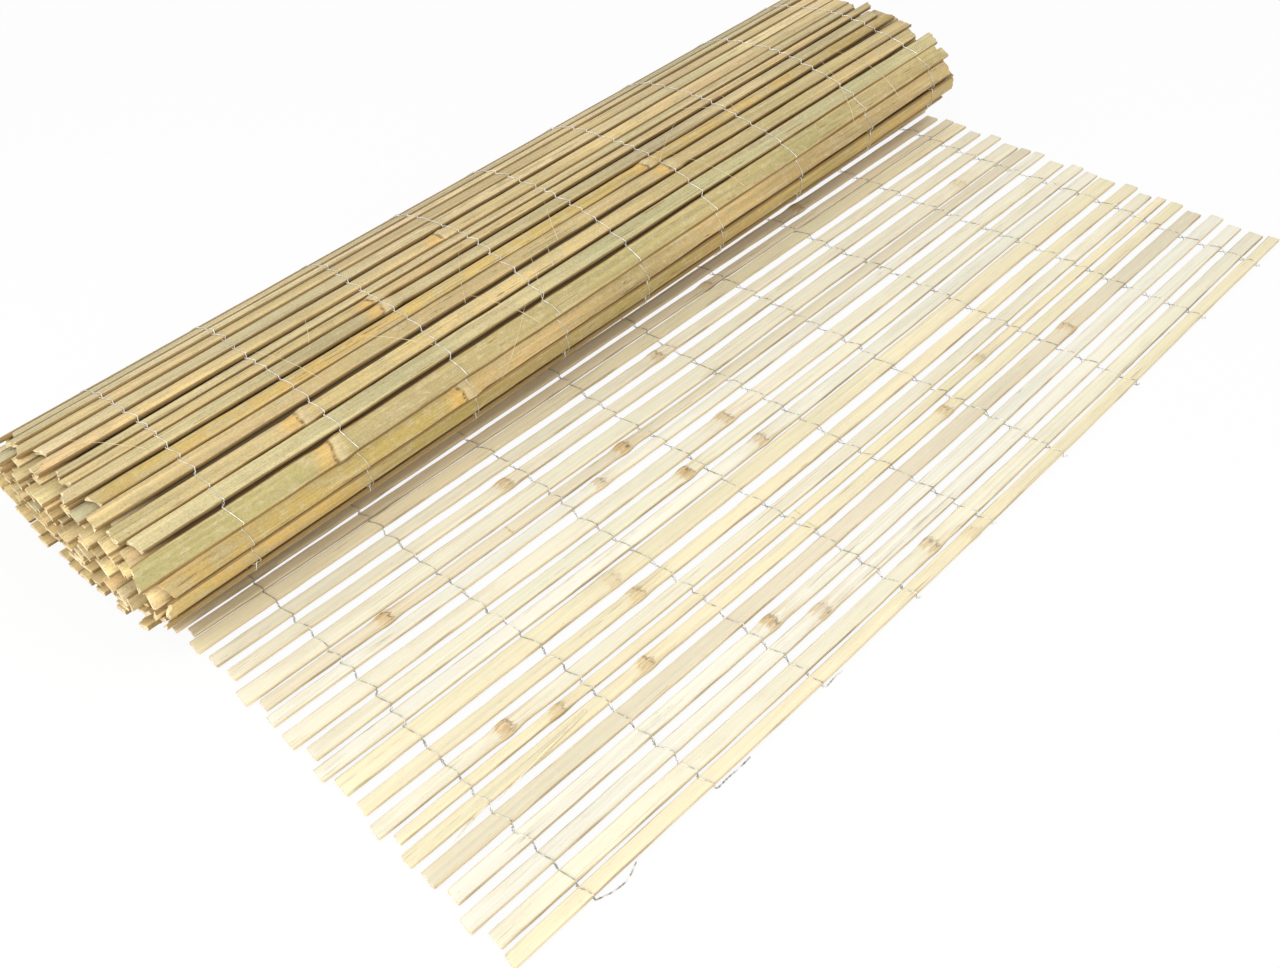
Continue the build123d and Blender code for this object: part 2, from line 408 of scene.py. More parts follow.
class Graph:
    """Nodes of one material or world, and the few ways in which they are made."""

    # Sockets of a Mix node that take and give colours, and the tolerance within which kinds are the same
    MIX_FIRST, MIX_SECOND, MIX_RESULT = 6, 7, 2
    SAME_KIND = 0.5

    def __init__(self, tree: bpy.types.NodeTree) -> None:
        """Take over a node tree and empty it."""
        self.tree = tree
        self.tree.nodes.clear()

    def node(self, kind: str, settings: dict[str, object], inputs: dict[str | int, object],
             output: str | int = 0) -> Shade:
        """Add a node.

        Args:
            kind: Type of the node.
            settings: Its settings, which are set first.
            inputs: Values, tones or links of its sockets, by name or number.
            output: The socket that is wanted, by name or number.

        Returns:
            That socket as a value.
        """
        made = self.tree.nodes.new(kind)
        for label, value in settings.items():
            setattr(made, label, value)
        for label, value in inputs.items():
            if isinstance(value, Shade):
                self.tree.links.new(value.socket, made.inputs[label])
            else:
                made.inputs[label].default_value = value.rgba if isinstance(value, Tone) else value
        return Shade(self, made.outputs[output] if made.outputs else None)

    def math(self, operation: str, *values: Shade | float) -> Shade:
        """Add a Math node on one or more values."""
        return self.node("ShaderNodeMath", {"operation": operation}, dict(enumerate(values)))

    def mix(self, factor: Shade | float, first: Shade | Tone, second: Shade | Tone) -> Shade:
        """Mix two colours: a factor of 0 gives the first and 1 the second."""
        settings = {"data_type": "RGBA", "clamp_factor": True}
        inputs = {0: factor, self.MIX_FIRST: first, self.MIX_SECOND: second}
        return self.node("ShaderNodeMix", settings, inputs, self.MIX_RESULT)

    def stained(self, colour: Shade, *stains: tuple[Shade, Shade | Tone]) -> Shade:
        """Mix stains into a colour one after the other.

        Args:
            colour: The colour below.
            stains: How strong each stain is, and its colour.

        Returns:
            The stained colour.
        """
        for strength, stain in stains:
            colour = self.mix(strength, colour, stain)
        return colour

    def scaled(self, colour: Shade, factor: Shade) -> Shade:
        """A colour made lighter or darker by a factor."""
        return self.node("ShaderNodeVectorMath", {"operation": "SCALE"}, {0: colour, "Scale": factor})

    def step(self, value: Shade, limits: tuple[float, float], foot: float = 0.0) -> Shade:
        """Smooth step from its foot, where the value is at the first limit, to 1 at the second."""
        inputs = {"Value": value, "From Min": limits[0], "From Max": limits[1], "To Min": foot}
        return self.node("ShaderNodeMapRange", {"interpolation_type": "SMOOTHSTEP"}, inputs)

    def band(self, value: Shade, limits: tuple[float, float]) -> Shade:
        """1 where a value is near 0, falling to 0 as its size goes from the first limit to the second."""
        return 1.0 - self.step(abs(value), limits)

    def attribute(self, name: str, output: str = "Fac") -> Shade:
        """Read a value that the piece's own mesh carries."""
        return self.node("ShaderNodeAttribute", {"attribute_name": name}, {}, output)

    def is_kind(self, kind: Kind) -> Shade:
        """1 on the faces of one kind and 0 elsewhere."""
        return self.math("COMPARE", self.attribute("kind"), kind.value, self.SAME_KIND)

    def noise(self, grain: Grain) -> Shade:
        """Noise in the part's own frame.

        Args:
            grain: The noise's repeats and octaves.

        Returns:
            The noise, from 0 to 1.
        """
        place = self.node("ShaderNodeTexCoord", {}, {}, "Object")
        moved = self.node("ShaderNodeMapping", {}, {"Vector": place, "Scale": grain.stretch})
        inputs = {"Vector": moved, "Scale": 1.0, "Detail": grain.detail, "Roughness": grain.roughness}
        return self.node("ShaderNodeTexNoise", {}, inputs)

    def seen(self) -> Shade:
        """1 for what the camera sees straight, mirrored or through glass, and 0 for plain light.

        Returns:
            The mask.
        """
        camera, glossy, through = (self.node("ShaderNodeLightPath", {}, {}, f"Is {ray} Ray")
                                   for ray in ("Camera", "Glossy", "Transmission"))
        return self.math("MINIMUM", camera + glossy + through, 1.0)

    def dress(self, **inputs: Shade | float) -> None:
        """End the nodes in a Principled shader, whose sockets are named with _ for a space."""
        sockets = {label.replace("_", " "): value for label, value in inputs.items()}
        surface = self.node("ShaderNodeBsdfPrincipled", {}, sockets)
        self.node("ShaderNodeOutputMaterial", {}, {"Surface": surface})


def new_material(name: str) -> tuple[bpy.types.Material, Graph]:
    """An empty material and the graph of its nodes.

    Args:
        name: Name of the material.

    Returns:
        The material and its graph.
    """
    material = bpy.data.materials.new(name)
    material.use_nodes = True
    return material, Graph(material.node_tree)


@dataclass(frozen=True)
class BambooFinish:
    """Bare split bamboo: fibres along the slat, patches, specks, ringed nodes, split edges and sawn ends.

    The fields are what differs between the two sides: tones, noises, and how strong each feature is. At a
    bamboo node, lean is the side that its flames are on, and flame_reach and wobble are in millimetres.
    """

    name: str
    patch: Tone
    bloom: Tone
    under: Tone
    split: Tone
    edge: Tone
    ring: Tone
    flame: Tone
    cloud: Grain
    mottle: Grain
    grit: Grain
    fibre: float
    band: float
    grain: float
    patches: float
    blooms: float
    specks: float
    cracks: float
    edges: float
    lean: float
    wobble: float
    flames: float
    flame_reach: float
    flame_fill: float
    roughness: float
    relief: float

    FINE_FIBRES = Grain((7.0, 1100.0, 1100.0), 3.0, 0.65)
    COARSE_FIBRES = Grain((3.0, 230.0, 230.0))
    FINE_GRAIN = Grain((480.0, 620.0, 620.0), 3.0, 0.7)
    CRACK_LINES = Grain((1.6, 260.0, 260.0), 1.0)
    SPLIT_STRETCHES = Grain((14.0, 60.0, 60.0))
    KNOT_EDGES = Grain((90.0, 320.0, 320.0), 3.0, 0.6)
    KNOT_HAIRS = Grain((30.0, 900.0, 900.0))
    BUNDLE_PORES = Grain((800.0, 800.0, 800.0))

    # Heights of a noise between which a feature comes in
    PATCH_RISE, BLOOM_RISE = (0.45, 0.70), (0.50, 0.68)
    SPECK_RISE, SPECK_AREA = (0.60, 0.72), (0.40, 0.60)
    CRACK_WIDTH, CRACK_AREA = (0.003, 0.011), (0.44, 0.56)
    FLAME_HAIRS, RING_HAIRS = (0.38, 0.62), (0.40, 0.60)
    STAIN_AREA, LINE_AREA = (0.36, 0.56), (0.42, 0.58)
    STRETCH_RISE, PORE_RISE = (0.50, 0.66), (0.50, 0.64)

    # Places and widths at a bamboo node, in millimetres
    RING_BEND, RING_WIDTH = 2.0, (2.5, 8.5)
    FLAME_PLACE, FLAME_CORE = 8.0, 4.0
    LINE_PLACE, LINE_WIDTH = 5.5, (0.5, 2.6)
    STAIN_REACH = (8.0, 48.0)

    # How strong features are that both sides share, and how closely they keep to the split edges
    RING_FILL, LINE_FILL = 0.45, 0.35
    STAIN_STRENGTH, LINE_STRENGTH = 0.7, 0.85
    EDGE_POWER, STAIN_POWER = 6.0, 4.0
    STRETCH_SHADE, PORE_SHADE = 0.55, 0.45
    SPLIT_COVER, UNDER_COVER, SAWN_COVER = 0.85, 0.8, 0.9
    FINE_RELIEF, COARSE_RELIEF, RELIEF_DEPTH = 0.6, 0.4, 0.3 * MM
    FIBRE_ROUGHNESS, GLOOM_ROUGHNESS, SPECULAR = 0.25, 0.5, 0.35

    def skin(self, graph: Graph) -> Shade:
        """Colour of the upper side, away from its bamboo nodes.

        The slat's own tone is patched and mottled by stretched noise, then speckled. Thin dark cracks
        follow the middle height of a noise that is stretched along the fibres. Both edges take a tone of
        their own.

        Args:
            graph: The material's nodes.

        Returns:
            The colour.
        """
        cloud = graph.noise(self.cloud)
        patches = graph.step(cloud, self.PATCH_RISE)
        blooms = graph.step(graph.noise(self.mottle), self.BLOOM_RISE)
        specks = graph.step(graph.noise(self.grit), self.SPECK_RISE) * graph.step(cloud, self.SPECK_AREA)
        cracks = graph.band(graph.noise(self.CRACK_LINES) - NOISE_MIDDLE, self.CRACK_WIDTH)
        cracks = cracks * graph.step(cloud, self.CRACK_AREA)
        # Edge tone along both edges of the upper side; on the skin side, paler than the slats, it is a
        # painted highlight
        edges = abs(graph.attribute("across")) ** self.EDGE_POWER
        return graph.stained(
            graph.attribute("tone", "Color"), (patches * self.patches, self.patch),
            (blooms * self.blooms, self.bloom), (specks * self.specks, Tone.KNOT),
            (cracks * self.cracks, Tone.SHADE), (edges * self.edges, self.edge))

    def knots(self, graph: Graph, colour: Shade) -> Shade:
        """Stain a colour at the slat's bamboo nodes.

        Each node is a ring across the slat, ragged or straight, with a dark line along one side of it,
        flames that run out along the fibres on that side, and stains that run out along both split edges.

        Args:
            graph: The material's nodes.
            colour: The colour away from the nodes.

        Returns:
            The stained colour.
        """
        size = graph.attribute("knot")
        across = graph.attribute("across")
        rough = graph.noise(self.KNOT_EDGES)
        hairs = graph.noise(self.KNOT_HAIRS)
        place = graph.attribute("away") + self.RING_BEND * across * across
        place = place + self.wobble * (rough - NOISE_MIDDLE)
        flame = graph.band(place - self.FLAME_PLACE * self.lean, (self.FLAME_CORE, self.flame_reach))
        flame = flame * graph.step(hairs, self.FLAME_HAIRS, self.flame_fill)
        stain = graph.band(place, self.STAIN_REACH) * abs(across) ** self.STAIN_POWER
        stain = stain * graph.step(rough, self.STAIN_AREA)
        ring = graph.band(place, self.RING_WIDTH) * graph.step(hairs, self.RING_HAIRS, self.RING_FILL)
        line = graph.band(place - self.LINE_PLACE * self.lean, self.LINE_WIDTH)
        line = line * graph.step(rough, self.LINE_AREA, self.LINE_FILL)
        return graph.stained(
            colour, (flame * size * self.flames, self.flame), (stain * size * self.STAIN_STRENGTH, Tone.KNOT),
            (ring * size, self.ring), (line * size * self.LINE_STRENGTH, Tone.DARK))

    def material(self) -> bpy.types.Material:
        """Build the finish.

        The upper side's colour is made lighter and darker by grain and by fine and coarse fibres. Split
        edges, the lower side and sawn ends have tones of their own: the edges darken in stretches of painted
        shade, and on the skin side their whole tone is painted shade, and the ends show the pores of the
        bundles. What lies deep in the roll is darker, by painted shade, and duller.

        Returns:
            The material.
        """
        material, graph = new_material(self.name)
        fine = graph.noise(self.FINE_FIBRES)
        coarse = graph.noise(self.COARSE_FIBRES)
        light = 1.0 + self.fibre * (fine - NOISE_MIDDLE) + self.band * (coarse - NOISE_MIDDLE)
        light = light + self.grain * (graph.noise(self.FINE_GRAIN) - NOISE_MIDDLE)
        # Painted shade on the split edges: they darken in stretches toward the shade tone
        stretches = graph.step(graph.noise(self.SPLIT_STRETCHES), self.STRETCH_RISE)
        side = graph.mix(stretches * self.STRETCH_SHADE, self.split, Tone.SHADE)
        sawn = graph.is_kind(Kind.SAWN)
        pores = graph.step(graph.noise(self.BUNDLE_PORES), self.PORE_RISE) * sawn
        # Painted shade: what lies deep in the roll is darkened toward dark brown, as in shade, and made
        # rougher
        gloom = graph.attribute("gloom")
        colour = graph.stained(
            self.knots(graph, self.skin(graph)), (graph.is_kind(Kind.SPLIT) * self.SPLIT_COVER, side),
            (graph.is_kind(Kind.LOWER) * self.UNDER_COVER, self.under), (sawn * self.SAWN_COVER, Tone.SAWN))
        colour = graph.stained(
            graph.scaled(colour, light), (pores * self.PORE_SHADE, Tone.SHADE), (gloom, Tone.DEEP_SHADE))
        height = fine * self.FINE_RELIEF + coarse * self.COARSE_RELIEF
        bump = {"Strength": self.relief, "Distance": self.RELIEF_DEPTH, "Height": height}
        roughness = self.roughness + self.FIBRE_ROUGHNESS * (fine - NOISE_MIDDLE)
        roughness = roughness + self.GLOOM_ROUGHNESS * gloom
        graph.dress(Base_Color=colour, Roughness=roughness, Normal=graph.node("ShaderNodeBump", {}, bump),
                    Specular_IOR_Level=self.SPECULAR)
        return material


@dataclass(frozen=True)
class WireFinish:
    """Thin galvanised wire: dull zinc with paler and darker stretches."""

    name: str
    bright: Tone
    dull: Tone

    BLOOM = Grain((180.0, 180.0, 180.0), 3.0)
    BLOOM_RISE = (0.35, 0.65)
    ROUGHNESS, DULLER = 0.34, 0.2

    def material(self) -> bpy.types.Material:
        """Build the finish: two greys of zinc mixed by noise, and rougher where it is dull.

        Returns:
            The material.
        """
        material, graph = new_material(self.name)
        bloom = graph.step(graph.noise(self.BLOOM), self.BLOOM_RISE)
        graph.dress(Base_Color=graph.mix(bloom, self.bright, self.dull), Metallic=1.0,
                    Roughness=self.ROUGHNESS + self.DULLER * bloom)
        return material


@dataclass(frozen=True)
class FibreFinish:
    """Loose bast fibres: pale straw with darker stretches."""

    name: str = "loose_fibre"
    roughness: float = 0.6

    CHANGE = Grain((60.0, 60.0, 60.0), 3.0)
    CHANGE_RISE = (0.35, 0.7)

    def material(self) -> bpy.types.Material:
        """Build the finish: straw and tan mixed along the fibre.

        Returns:
            The material.
        """
        material, graph = new_material(self.name)
        change = graph.step(graph.noise(self.CHANGE), self.CHANGE_RISE)
        graph.dress(Base_Color=graph.mix(change, Tone.STRAW, Tone.TAN), Roughness=self.roughness)
        return material


PITH_FINISH = BambooFinish(
    "bamboo_pith_side", patch=Tone.BEIGE, bloom=Tone.IVORY, under=Tone.OLIVE, split=Tone.SIDE,
    edge=Tone.HEARTWOOD, ring=Tone.OCHRE, flame=Tone.HEARTWOOD, cloud=Grain((22.0, 110.0, 110.0), 4.0, 0.6),
    mottle=Grain((80.0, 240.0, 240.0), 4.0, 0.65), grit=Grain((260.0, 700.0, 700.0)),
    fibre=0.26, band=0.28, grain=0.10, patches=0.40, blooms=0.20, specks=0.14, cracks=0.40, edges=0.12,
    lean=1.0, wobble=20.0, flames=0.6, flame_reach=34.0, flame_fill=0.0, roughness=0.62, relief=0.35)
# On the skin side the split edges take the shade tone itself: painted shade in the gaps between the roll's
# slats
SKIN_FINISH = BambooFinish(
    "bamboo_skin_side", patch=Tone.GREY_TAN, bloom=Tone.WEATHERED, under=Tone.HEARTWOOD, split=Tone.SHADE,
    edge=Tone.HEARTWOOD, ring=Tone.WEATHERED, flame=Tone.AMBER, cloud=Grain((34.0, 90.0, 90.0), 4.0, 0.6),
    mottle=Grain((100.0, 170.0, 170.0), 4.0, 0.65), grit=Grain((560.0, 800.0, 800.0)),
    # The skin side's edges take the paler heartwood tone as a painted highlight
    fibre=0.62, band=0.75, grain=0.70, patches=0.75, blooms=0.55, specks=0.70, cracks=0.90, edges=0.35,
    lean=-1.0, wobble=5.0, flames=0.95, flame_reach=20.0, flame_fill=0.45, roughness=0.48, relief=0.55)
# One wire, two finishes: the flat part's is darker, painted shade, and the roll's paler, painted highlight
FLAT_WIRE_FINISH = WireFinish("wire_with_painted_shade", Tone.PALE_ZINC, Tone.DULL_SHADED_ZINC)
ROLL_WIRE_FINISH = WireFinish("wire_with_painted_highlight", Tone.HIGHLIT_ZINC, Tone.DULL_HIGHLIT_ZINC)


@dataclass
class SlatForm:
    """One split slat as a surface: the way along it and the way round its section.

    In the slat's own frame, x runs along it, the section goes across it, and up points out of its upper
    face. Its knots are the places of its bamboo nodes and their strengths from 0 to 1.
    """

    origin: np.ndarray
    along: np.ndarray
    across: np.ndarray
    up: np.ndarray
    near: float
    far: float
    width: float
    seed: int
    upper: Side
    tone: Tone
    second: Tone | None = None
    change: float = 0.0
    knots: tuple[tuple[float, float], ...] = ()
    blend: float = 2.0 * MM
    bow: float = 0.0
    taper: float = 0.0
    slant: float = 0.0
    # Painted shade from 0 to 1, which darkens the slat away from its ends
    gloom: float = 0.0
    wavy: float = 0.5 * MM
    fray: float = 0.6 * MM
    cuts: tuple[float, float] = (0.5 * MM, -0.4 * MM)

    # Which of the slat's own random lines each wander is, short waves counted from their edge's line
    MIDDLE, SECOND_EDGE, FIRST_EDGE, SHORT_WAVES, FRAY, RAGGED, STREAK, SHADES = 0, 1, 2, 2, 5, 6, 7, 8

    # Wanders: a height, or a share of the width, and the step in which it changes
    LONG_WAVE, SHORT_WAVE = (0.026, 110 * MM), (0.014, 24 * MM)
    RAGGED_WAVE, STREAK_WAVE = (0.18 * MM, 14 * MM), (0.12 * MM, 35 * MM)
    MIDDLE_STEP, SHADE_STEP = 160 * MM, 130 * MM
    SHADE_CHANGE = {Side.SKIN: 0.17, Side.PITH: 0.05}
    TINT = 0.25

    # Bamboo nodes: heights, breadths and places in millimetres, and shares of a height
    FLARE, FLARE_BREADTH = 1.3, 8.0
    NECK, NECK_BREADTH, NECK_PLACE = 0.7, 9.0, 17.0
    RIDGE, RIDGE_BREADTH = 1.2, 5.5
    RING, RING_BREADTH = 0.7, 2.2
    GROOVE_SHARE, GROOVE_BREADTH, GROOVE_PLACE = 0.6, 1.8, -5.0
    KNOT_LIMIT = 60.0
    EDGE_FALL = 0.4

    BOW_SHIFT, BOW_POWER = 0.85, 1.5
    KNOT_SPAN, KNOT_RINGS = 15 * MM, 21
    END_RINGS = (0.6 * MM, 40.0 * MM)
    CLOSEST_RINGS = 0.3 * MM
    SAWN_SHARE = 0.95
    # Distances from the nearer end at which the painted shade starts and at which it is full
    PAINTED_SHADE_DEPTH = (12 * MM, 42 * MM)

    def share(self, x: np.ndarray) -> np.ndarray:
        """Share of the slat's length that lies before each place."""
        return (x - self.near) / (self.far - self.near)

    def wander(self, line: int, step: float, x: np.ndarray, columns: int = 1) -> np.ndarray:
        """One of the slat's own random lines, or some of them side by side."""
        return Wander(self.seed + line, step, columns)(x)

    def reach(self, x: np.ndarray, sign: float) -> np.ndarray:
        """How far one edge lies from the slat's middle.

        The slat tapers evenly from end to end, each edge wanders in long and short waves of its own, and
        it flares at each bamboo node beside a narrower neck.

        Args:
            x: Places along the slat.
            sign: -1 for the first edge of the section, 1 for the second.

        Returns:
            The distance at each place.
        """
        line = self.SECOND_EDGE if sign > 0 else self.FIRST_EDGE
        reach = self.width / 2 * (1.0 + self.taper * (0.5 - self.share(x)))
        for number, (height, step) in ((line, self.LONG_WAVE), (line + self.SHORT_WAVES, self.SHORT_WAVE)):
            reach = reach + self.width * height * self.wander(number, step, x)[:, 0]
        for middle, size in self.knots:
            away = (x - middle) / MM
            neck = self.NECK * hump(away + sign * self.NECK_PLACE, self.NECK_BREADTH)
            reach = reach + size * MM * (self.FLARE * hump(away, self.FLARE_BREADTH) - neck)
        return reach

    def centre(self, x: np.ndarray) -> np.ndarray:
        """How far the slat's middle strays across: an even slant, one long bow, and a smaller wander.

        Args:
            x: Places along the slat.

        Returns:
            The offset at each place.
        """
        share = self.share(x)
        bowed = self.bow * np.sin(math.pi * np.clip(share, 0.0, 1.0) ** self.BOW_SHIFT) ** self.BOW_POWER
        strayed = self.wavy * self.wander(self.MIDDLE, self.MIDDLE_STEP, x)[:, 0]
        return bowed + self.slant * (share - 0.5) + strayed

    def next_knot(self, x: np.ndarray) -> tuple[np.ndarray, np.ndarray]:
        """Strength of the bamboo node next to each place, and how far off it is.

        Args:
            x: Places along the slat.

        Returns:
            The strengths from 0 to 1, and the distances in millimetres, cut off at a limit.
        """
        if not self.knots:
            return np.zeros(len(x)), np.full(len(x), self.KNOT_LIMIT)
        middles, sizes = (np.array(column) for column in zip(*self.knots))
        gaps = (x[:, None] - middles) / MM
        nearest = np.abs(gaps).argmin(1)
        away = np.clip(gaps[np.arange(len(x)), nearest], -self.KNOT_LIMIT, self.KNOT_LIMIT)
        return sizes[nearest], away

    def knot_rise(self, x: np.ndarray) -> np.ndarray:
        """Height of the bamboo nodes: a low ridge on the pith side, a ring and groove on the skin side.

        Args:
            x: Places along the slat.

        Returns:
            The height at each place.
        """
        rise = np.zeros(len(x))
        for middle, size in self.knots:
            away = (x - middle) / MM
            if self.upper is Side.PITH:
                rise = rise + size * self.RIDGE * MM * hump(away, self.RIDGE_BREADTH)
            else:
                groove = self.GROOVE_SHARE * hump(away - self.GROOVE_PLACE, self.GROOVE_BREADTH)
                rise = rise + size * self.RING * MM * (hump(away, self.RING_BREADTH) - groove)
        return rise

    def stations(self, spacing: float) -> np.ndarray:
        """Places along the slat for its rings, close together at the ends and the bamboo nodes.

        Args:
            spacing: Distance between rings on a plain stretch.

        Returns:
            The places, in order.
        """
        plain = np.linspace(self.near, self.far, round((self.far - self.near) / spacing) + 1)
        close = np.linspace(-self.KNOT_SPAN, self.KNOT_SPAN, self.KNOT_RINGS)
        inset = np.array(self.END_RINGS)
        places = [plain, *(middle + close for middle, _ in self.knots), self.near + inset, self.far - inset]
        places = np.sort(np.concatenate(places))
        places = places[(places >= self.near) & (places <= self.far)]
        return places[np.concatenate([[True], np.diff(places) > self.CLOSEST_RINGS])]

    def grid(self, x: np.ndarray, section: Section) -> np.ndarray:
        """The slat's surface.

        A point of the section lies at its share of the half width from the wandering middle, and at its
        share of the way from the lower face to the upper one. The crowned side falls off, and the hollow
        side rises, with the square of the share across. The sawn ends are cut askew, frayed and a little
        smaller.

        Args:
            x: Places along the slat.
            section: The slat's section.

        Returns:
            Points as places along by places round by three.
        """
        across = section.across
        columns = len(across)
        fray = self.fray * self.wander(self.FRAY, 1.0, np.array([0.0, 1.0]), columns)
        near = self.near + fray[0] + self.cuts[0] * across
        far = self.far + fray[1] + self.cuts[1] * across
        placed = near + (far - near) * self.share(x)[:, None]
        ragged, ragged_step = self.RAGGED_WAVE
        streak, streak_step = self.STREAK_WAVE
        reach = np.where(across > 0, self.reach(x, 1.0)[:, None], self.reach(x, -1.0)[:, None])
        side = across * reach + ragged * self.wander(self.RAGGED, ragged_step, x, columns)
        skin_up = self.upper is Side.SKIN
        crown = (SKIN_CROWN if skin_up else UNDER_CROWN) * across ** 2
        hollow = PITH_HOLLOW * across ** 2
        rise = self.knot_rise(x)[:, None] * (1.0 - self.EDGE_FALL * across ** 2)
        streaks = streak * self.wander(self.STREAK, streak_step, x, columns)
        top = streaks + rise + (-crown if skin_up else hollow)
        bottom = -SLAT_THICKNESS + (-hollow if skin_up else crown)
        height = bottom + (top - bottom) * section.height
        sawn = np.where((x <= self.near) | (x >= self.far), self.SAWN_SHARE, 1.0)[:, None]
        side = self.centre(x)[:, None] + side * sawn
        height = -SLAT_THICKNESS / 2 + (height + SLAT_THICKNESS / 2) * sawn
        return (self.origin + placed[..., None] * self.along + side[..., None] * self.across
                + height[..., None] * self.up)

    def colours(self, x: np.ndarray) -> np.ndarray:
        """The slat's tone along its length: one tone or two, lighter and darker by a slow wander.

        Args:
            x: Places along the slat.

        Returns:
            Linear colours, one for each place.
        """
        tone = np.repeat(self.tone.linear[None], len(x), 0)
        if self.second is not None:
            share = smooth_step(self.change - self.blend, self.change + self.blend, x)[:, None]
            tone = tone + (self.second.linear - tone) * share
        slow = self.wander(self.SHADES, self.SHADE_STEP, x, 3)
        change = self.SHADE_CHANGE[self.upper] * (slow[:, :1] + self.TINT * slow)
        return np.clip(tone * (1.0 + change), 0.0, 1.0)

    def depth(self, x: np.ndarray) -> np.ndarray:
        """Painted shade along the slat: none at its ends, and full further in."""
        return self.gloom * smooth_step(*self.PAINTED_SHADE_DEPTH, np.minimum(x - self.near, self.far - x))

    def add_to(self, builder: MeshBuilder, section: Section, spacing: float) -> None:
        """Add this slat to a mesh.

        Args:
            builder: The mesh being made.
            section: The slat's section.
            spacing: Distance between rings on a plain stretch.
        """
        x = self.stations(spacing)
        knot, away = self.next_knot(x)
        builder.add(self.grid(x, section), self.colours(x), section.strips, section.across,
                    knot=knot, away=away, gloom=self.depth(x))

    def edge_point(self, x: float, sign: float) -> np.ndarray:
        """The point half way up one edge of the slat, where a wire crosses it.

        Args:
            x: Place along the slat.
            sign: -1 for the first edge of the section, 1 for the second.

        Returns:
            The point.
        """
        place = np.array([x])
        side = self.centre(place)[0] + sign * self.reach(place, sign)[0]
        return self.origin + x * self.along - SLAT_THICKNESS / 2 * self.up + side * self.across


def node_points(node: bpy.types.Object) -> np.ndarray:
    """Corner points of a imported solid.

    Args:
        node: The solid's object.

    Returns:
        The points, one in each row.
    """
    points = np.zeros(len(node.data.vertices) * 3, np.float32)
    node.data.vertices.foreach_get("co", points)
    return points.reshape(-1, 3).astype(float)


# The flat slats' tones, and the slats whose bamboo nodes are strong or faint, from the front edge back
FLAT_TONES = (
    Tone.STRAW, Tone.CREAM, Tone.IVORY, Tone.IVORY, Tone.BEIGE, Tone.STRAW, Tone.STRAW, Tone.CREAM,
    Tone.STRAW, Tone.STRAW, Tone.IVORY, Tone.CREAM, Tone.CREAM, Tone.IVORY, Tone.BEIGE, Tone.CREAM,
    # The last four slats lie under the roll: their pale cream tone is painted light that lifts the roll's
    # shade on them
    Tone.CREAM, Tone.CREAM, Tone.STRAW, Tone.TAUPE, Tone.TAUPE, *[Tone.CREAM] * 4)
STRONG_KNOT, PLAIN_KNOT, FAINT_KNOT = 1.0, 0.65, 0.35
KNOT_SIZES = {**dict.fromkeys((4, 8, 12, 15, 17), STRONG_KNOT), **dict.fromkeys((1, 10, 16), FAINT_KNOT)}


@dataclass
class FlatMat:
    """The part of the mat that lies flat, pith side up. Its slats take their places from the frame."""

    frame: dict
    bow: float = -6.0 * MM
    held: int = 21
    easing: int = 9
    taper: float = 0.06
    spacing: float = 8.0 * MM
    columns: int = 6
    seed: int = 3
    forms: list[SlatForm] = field(default_factory=list)

    SEEDS_APART = 100
    END_ZONE = 2 * MM
    CREST = 0.6 * MM
    CREST_DIGITS = 4
    KNOTS_APART = 8 * MM
    KNOT_RANGE = (0.7, 1.0)
    BOW_RANGE = (0.85, 1.1)
    TONE_BLEND = 400 * MM

    def measure(self) -> None:
        """Read each slat's ends, width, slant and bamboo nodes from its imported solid."""
        draw = np.random.default_rng(self.seed)
        for number, tone in enumerate(FLAT_TONES, 1):
            points = node_points(self.frame["nodes"][f"slat_{number:02d}"])
            x = points[:, 0]
            near = points[x < x.min() + self.END_ZONE]
            far = points[x > x.max() - self.END_ZONE]
            first, last = ((end.min(0) + end.max(0)) / 2 for end in (near, far))
            top = near[:, 2].max()
            along = unit((last - first) * (1.0 - UP))
            origin = first - along * first[0] / along[0]
            origin[2] = top
            size = KNOT_SIZES.get(number, PLAIN_KNOT)
            crest = np.unique(np.round(x[points[:, 2] > top + self.CREST], self.CREST_DIGITS))
            groups = np.split(crest, np.where(np.diff(crest) > self.KNOTS_APART)[0] + 1) if len(crest) else []
            knots = tuple((float(group.mean()), size * draw.uniform(*self.KNOT_RANGE)) for group in groups)
            loose = float(np.clip((self.held - number) / self.easing, 0.0, 1.0))
            self.forms.append(SlatForm(
                origin, along, np.array([-along[1], along[0], 0.0]), UP, float((first - origin) @ along),
                float((last - origin) @ along), float(np.ptp(near[:, 1])), self.SEEDS_APART * number,
                Side.PITH, tone, Tone.ASHEN if tone is Tone.TAUPE else None, knots=knots,
                blend=self.TONE_BLEND, bow=self.bow * loose * draw.uniform(*self.BOW_RANGE),
                taper=self.taper * draw.uniform(-1.0, 1.0)))

    def build(self, material: bpy.types.Material) -> None:
        """Make one piece for each slat.

        Args:
            material: The pith side's finish.
        """
        section = Section.cut(self.columns, ROUNDED_CORNER)
        for number, form in enumerate(self.forms, 1):
            builder = MeshBuilder()
            form.add_to(builder, section, self.spacing)
            mount(builder.make(f"split_slat_{number:02d}", material), "bamboo_pith", f"slat_{number:02d}")


@dataclass(frozen=True)
class RollLook:
    """What the photograph shows of one slat of the outer turn: its tones, its bamboo node and its breadth."""

    tone: Tone
    second: Tone | None = None
    change: float = 0.0
    knot: float | None = None
    breadth: float = 1.0


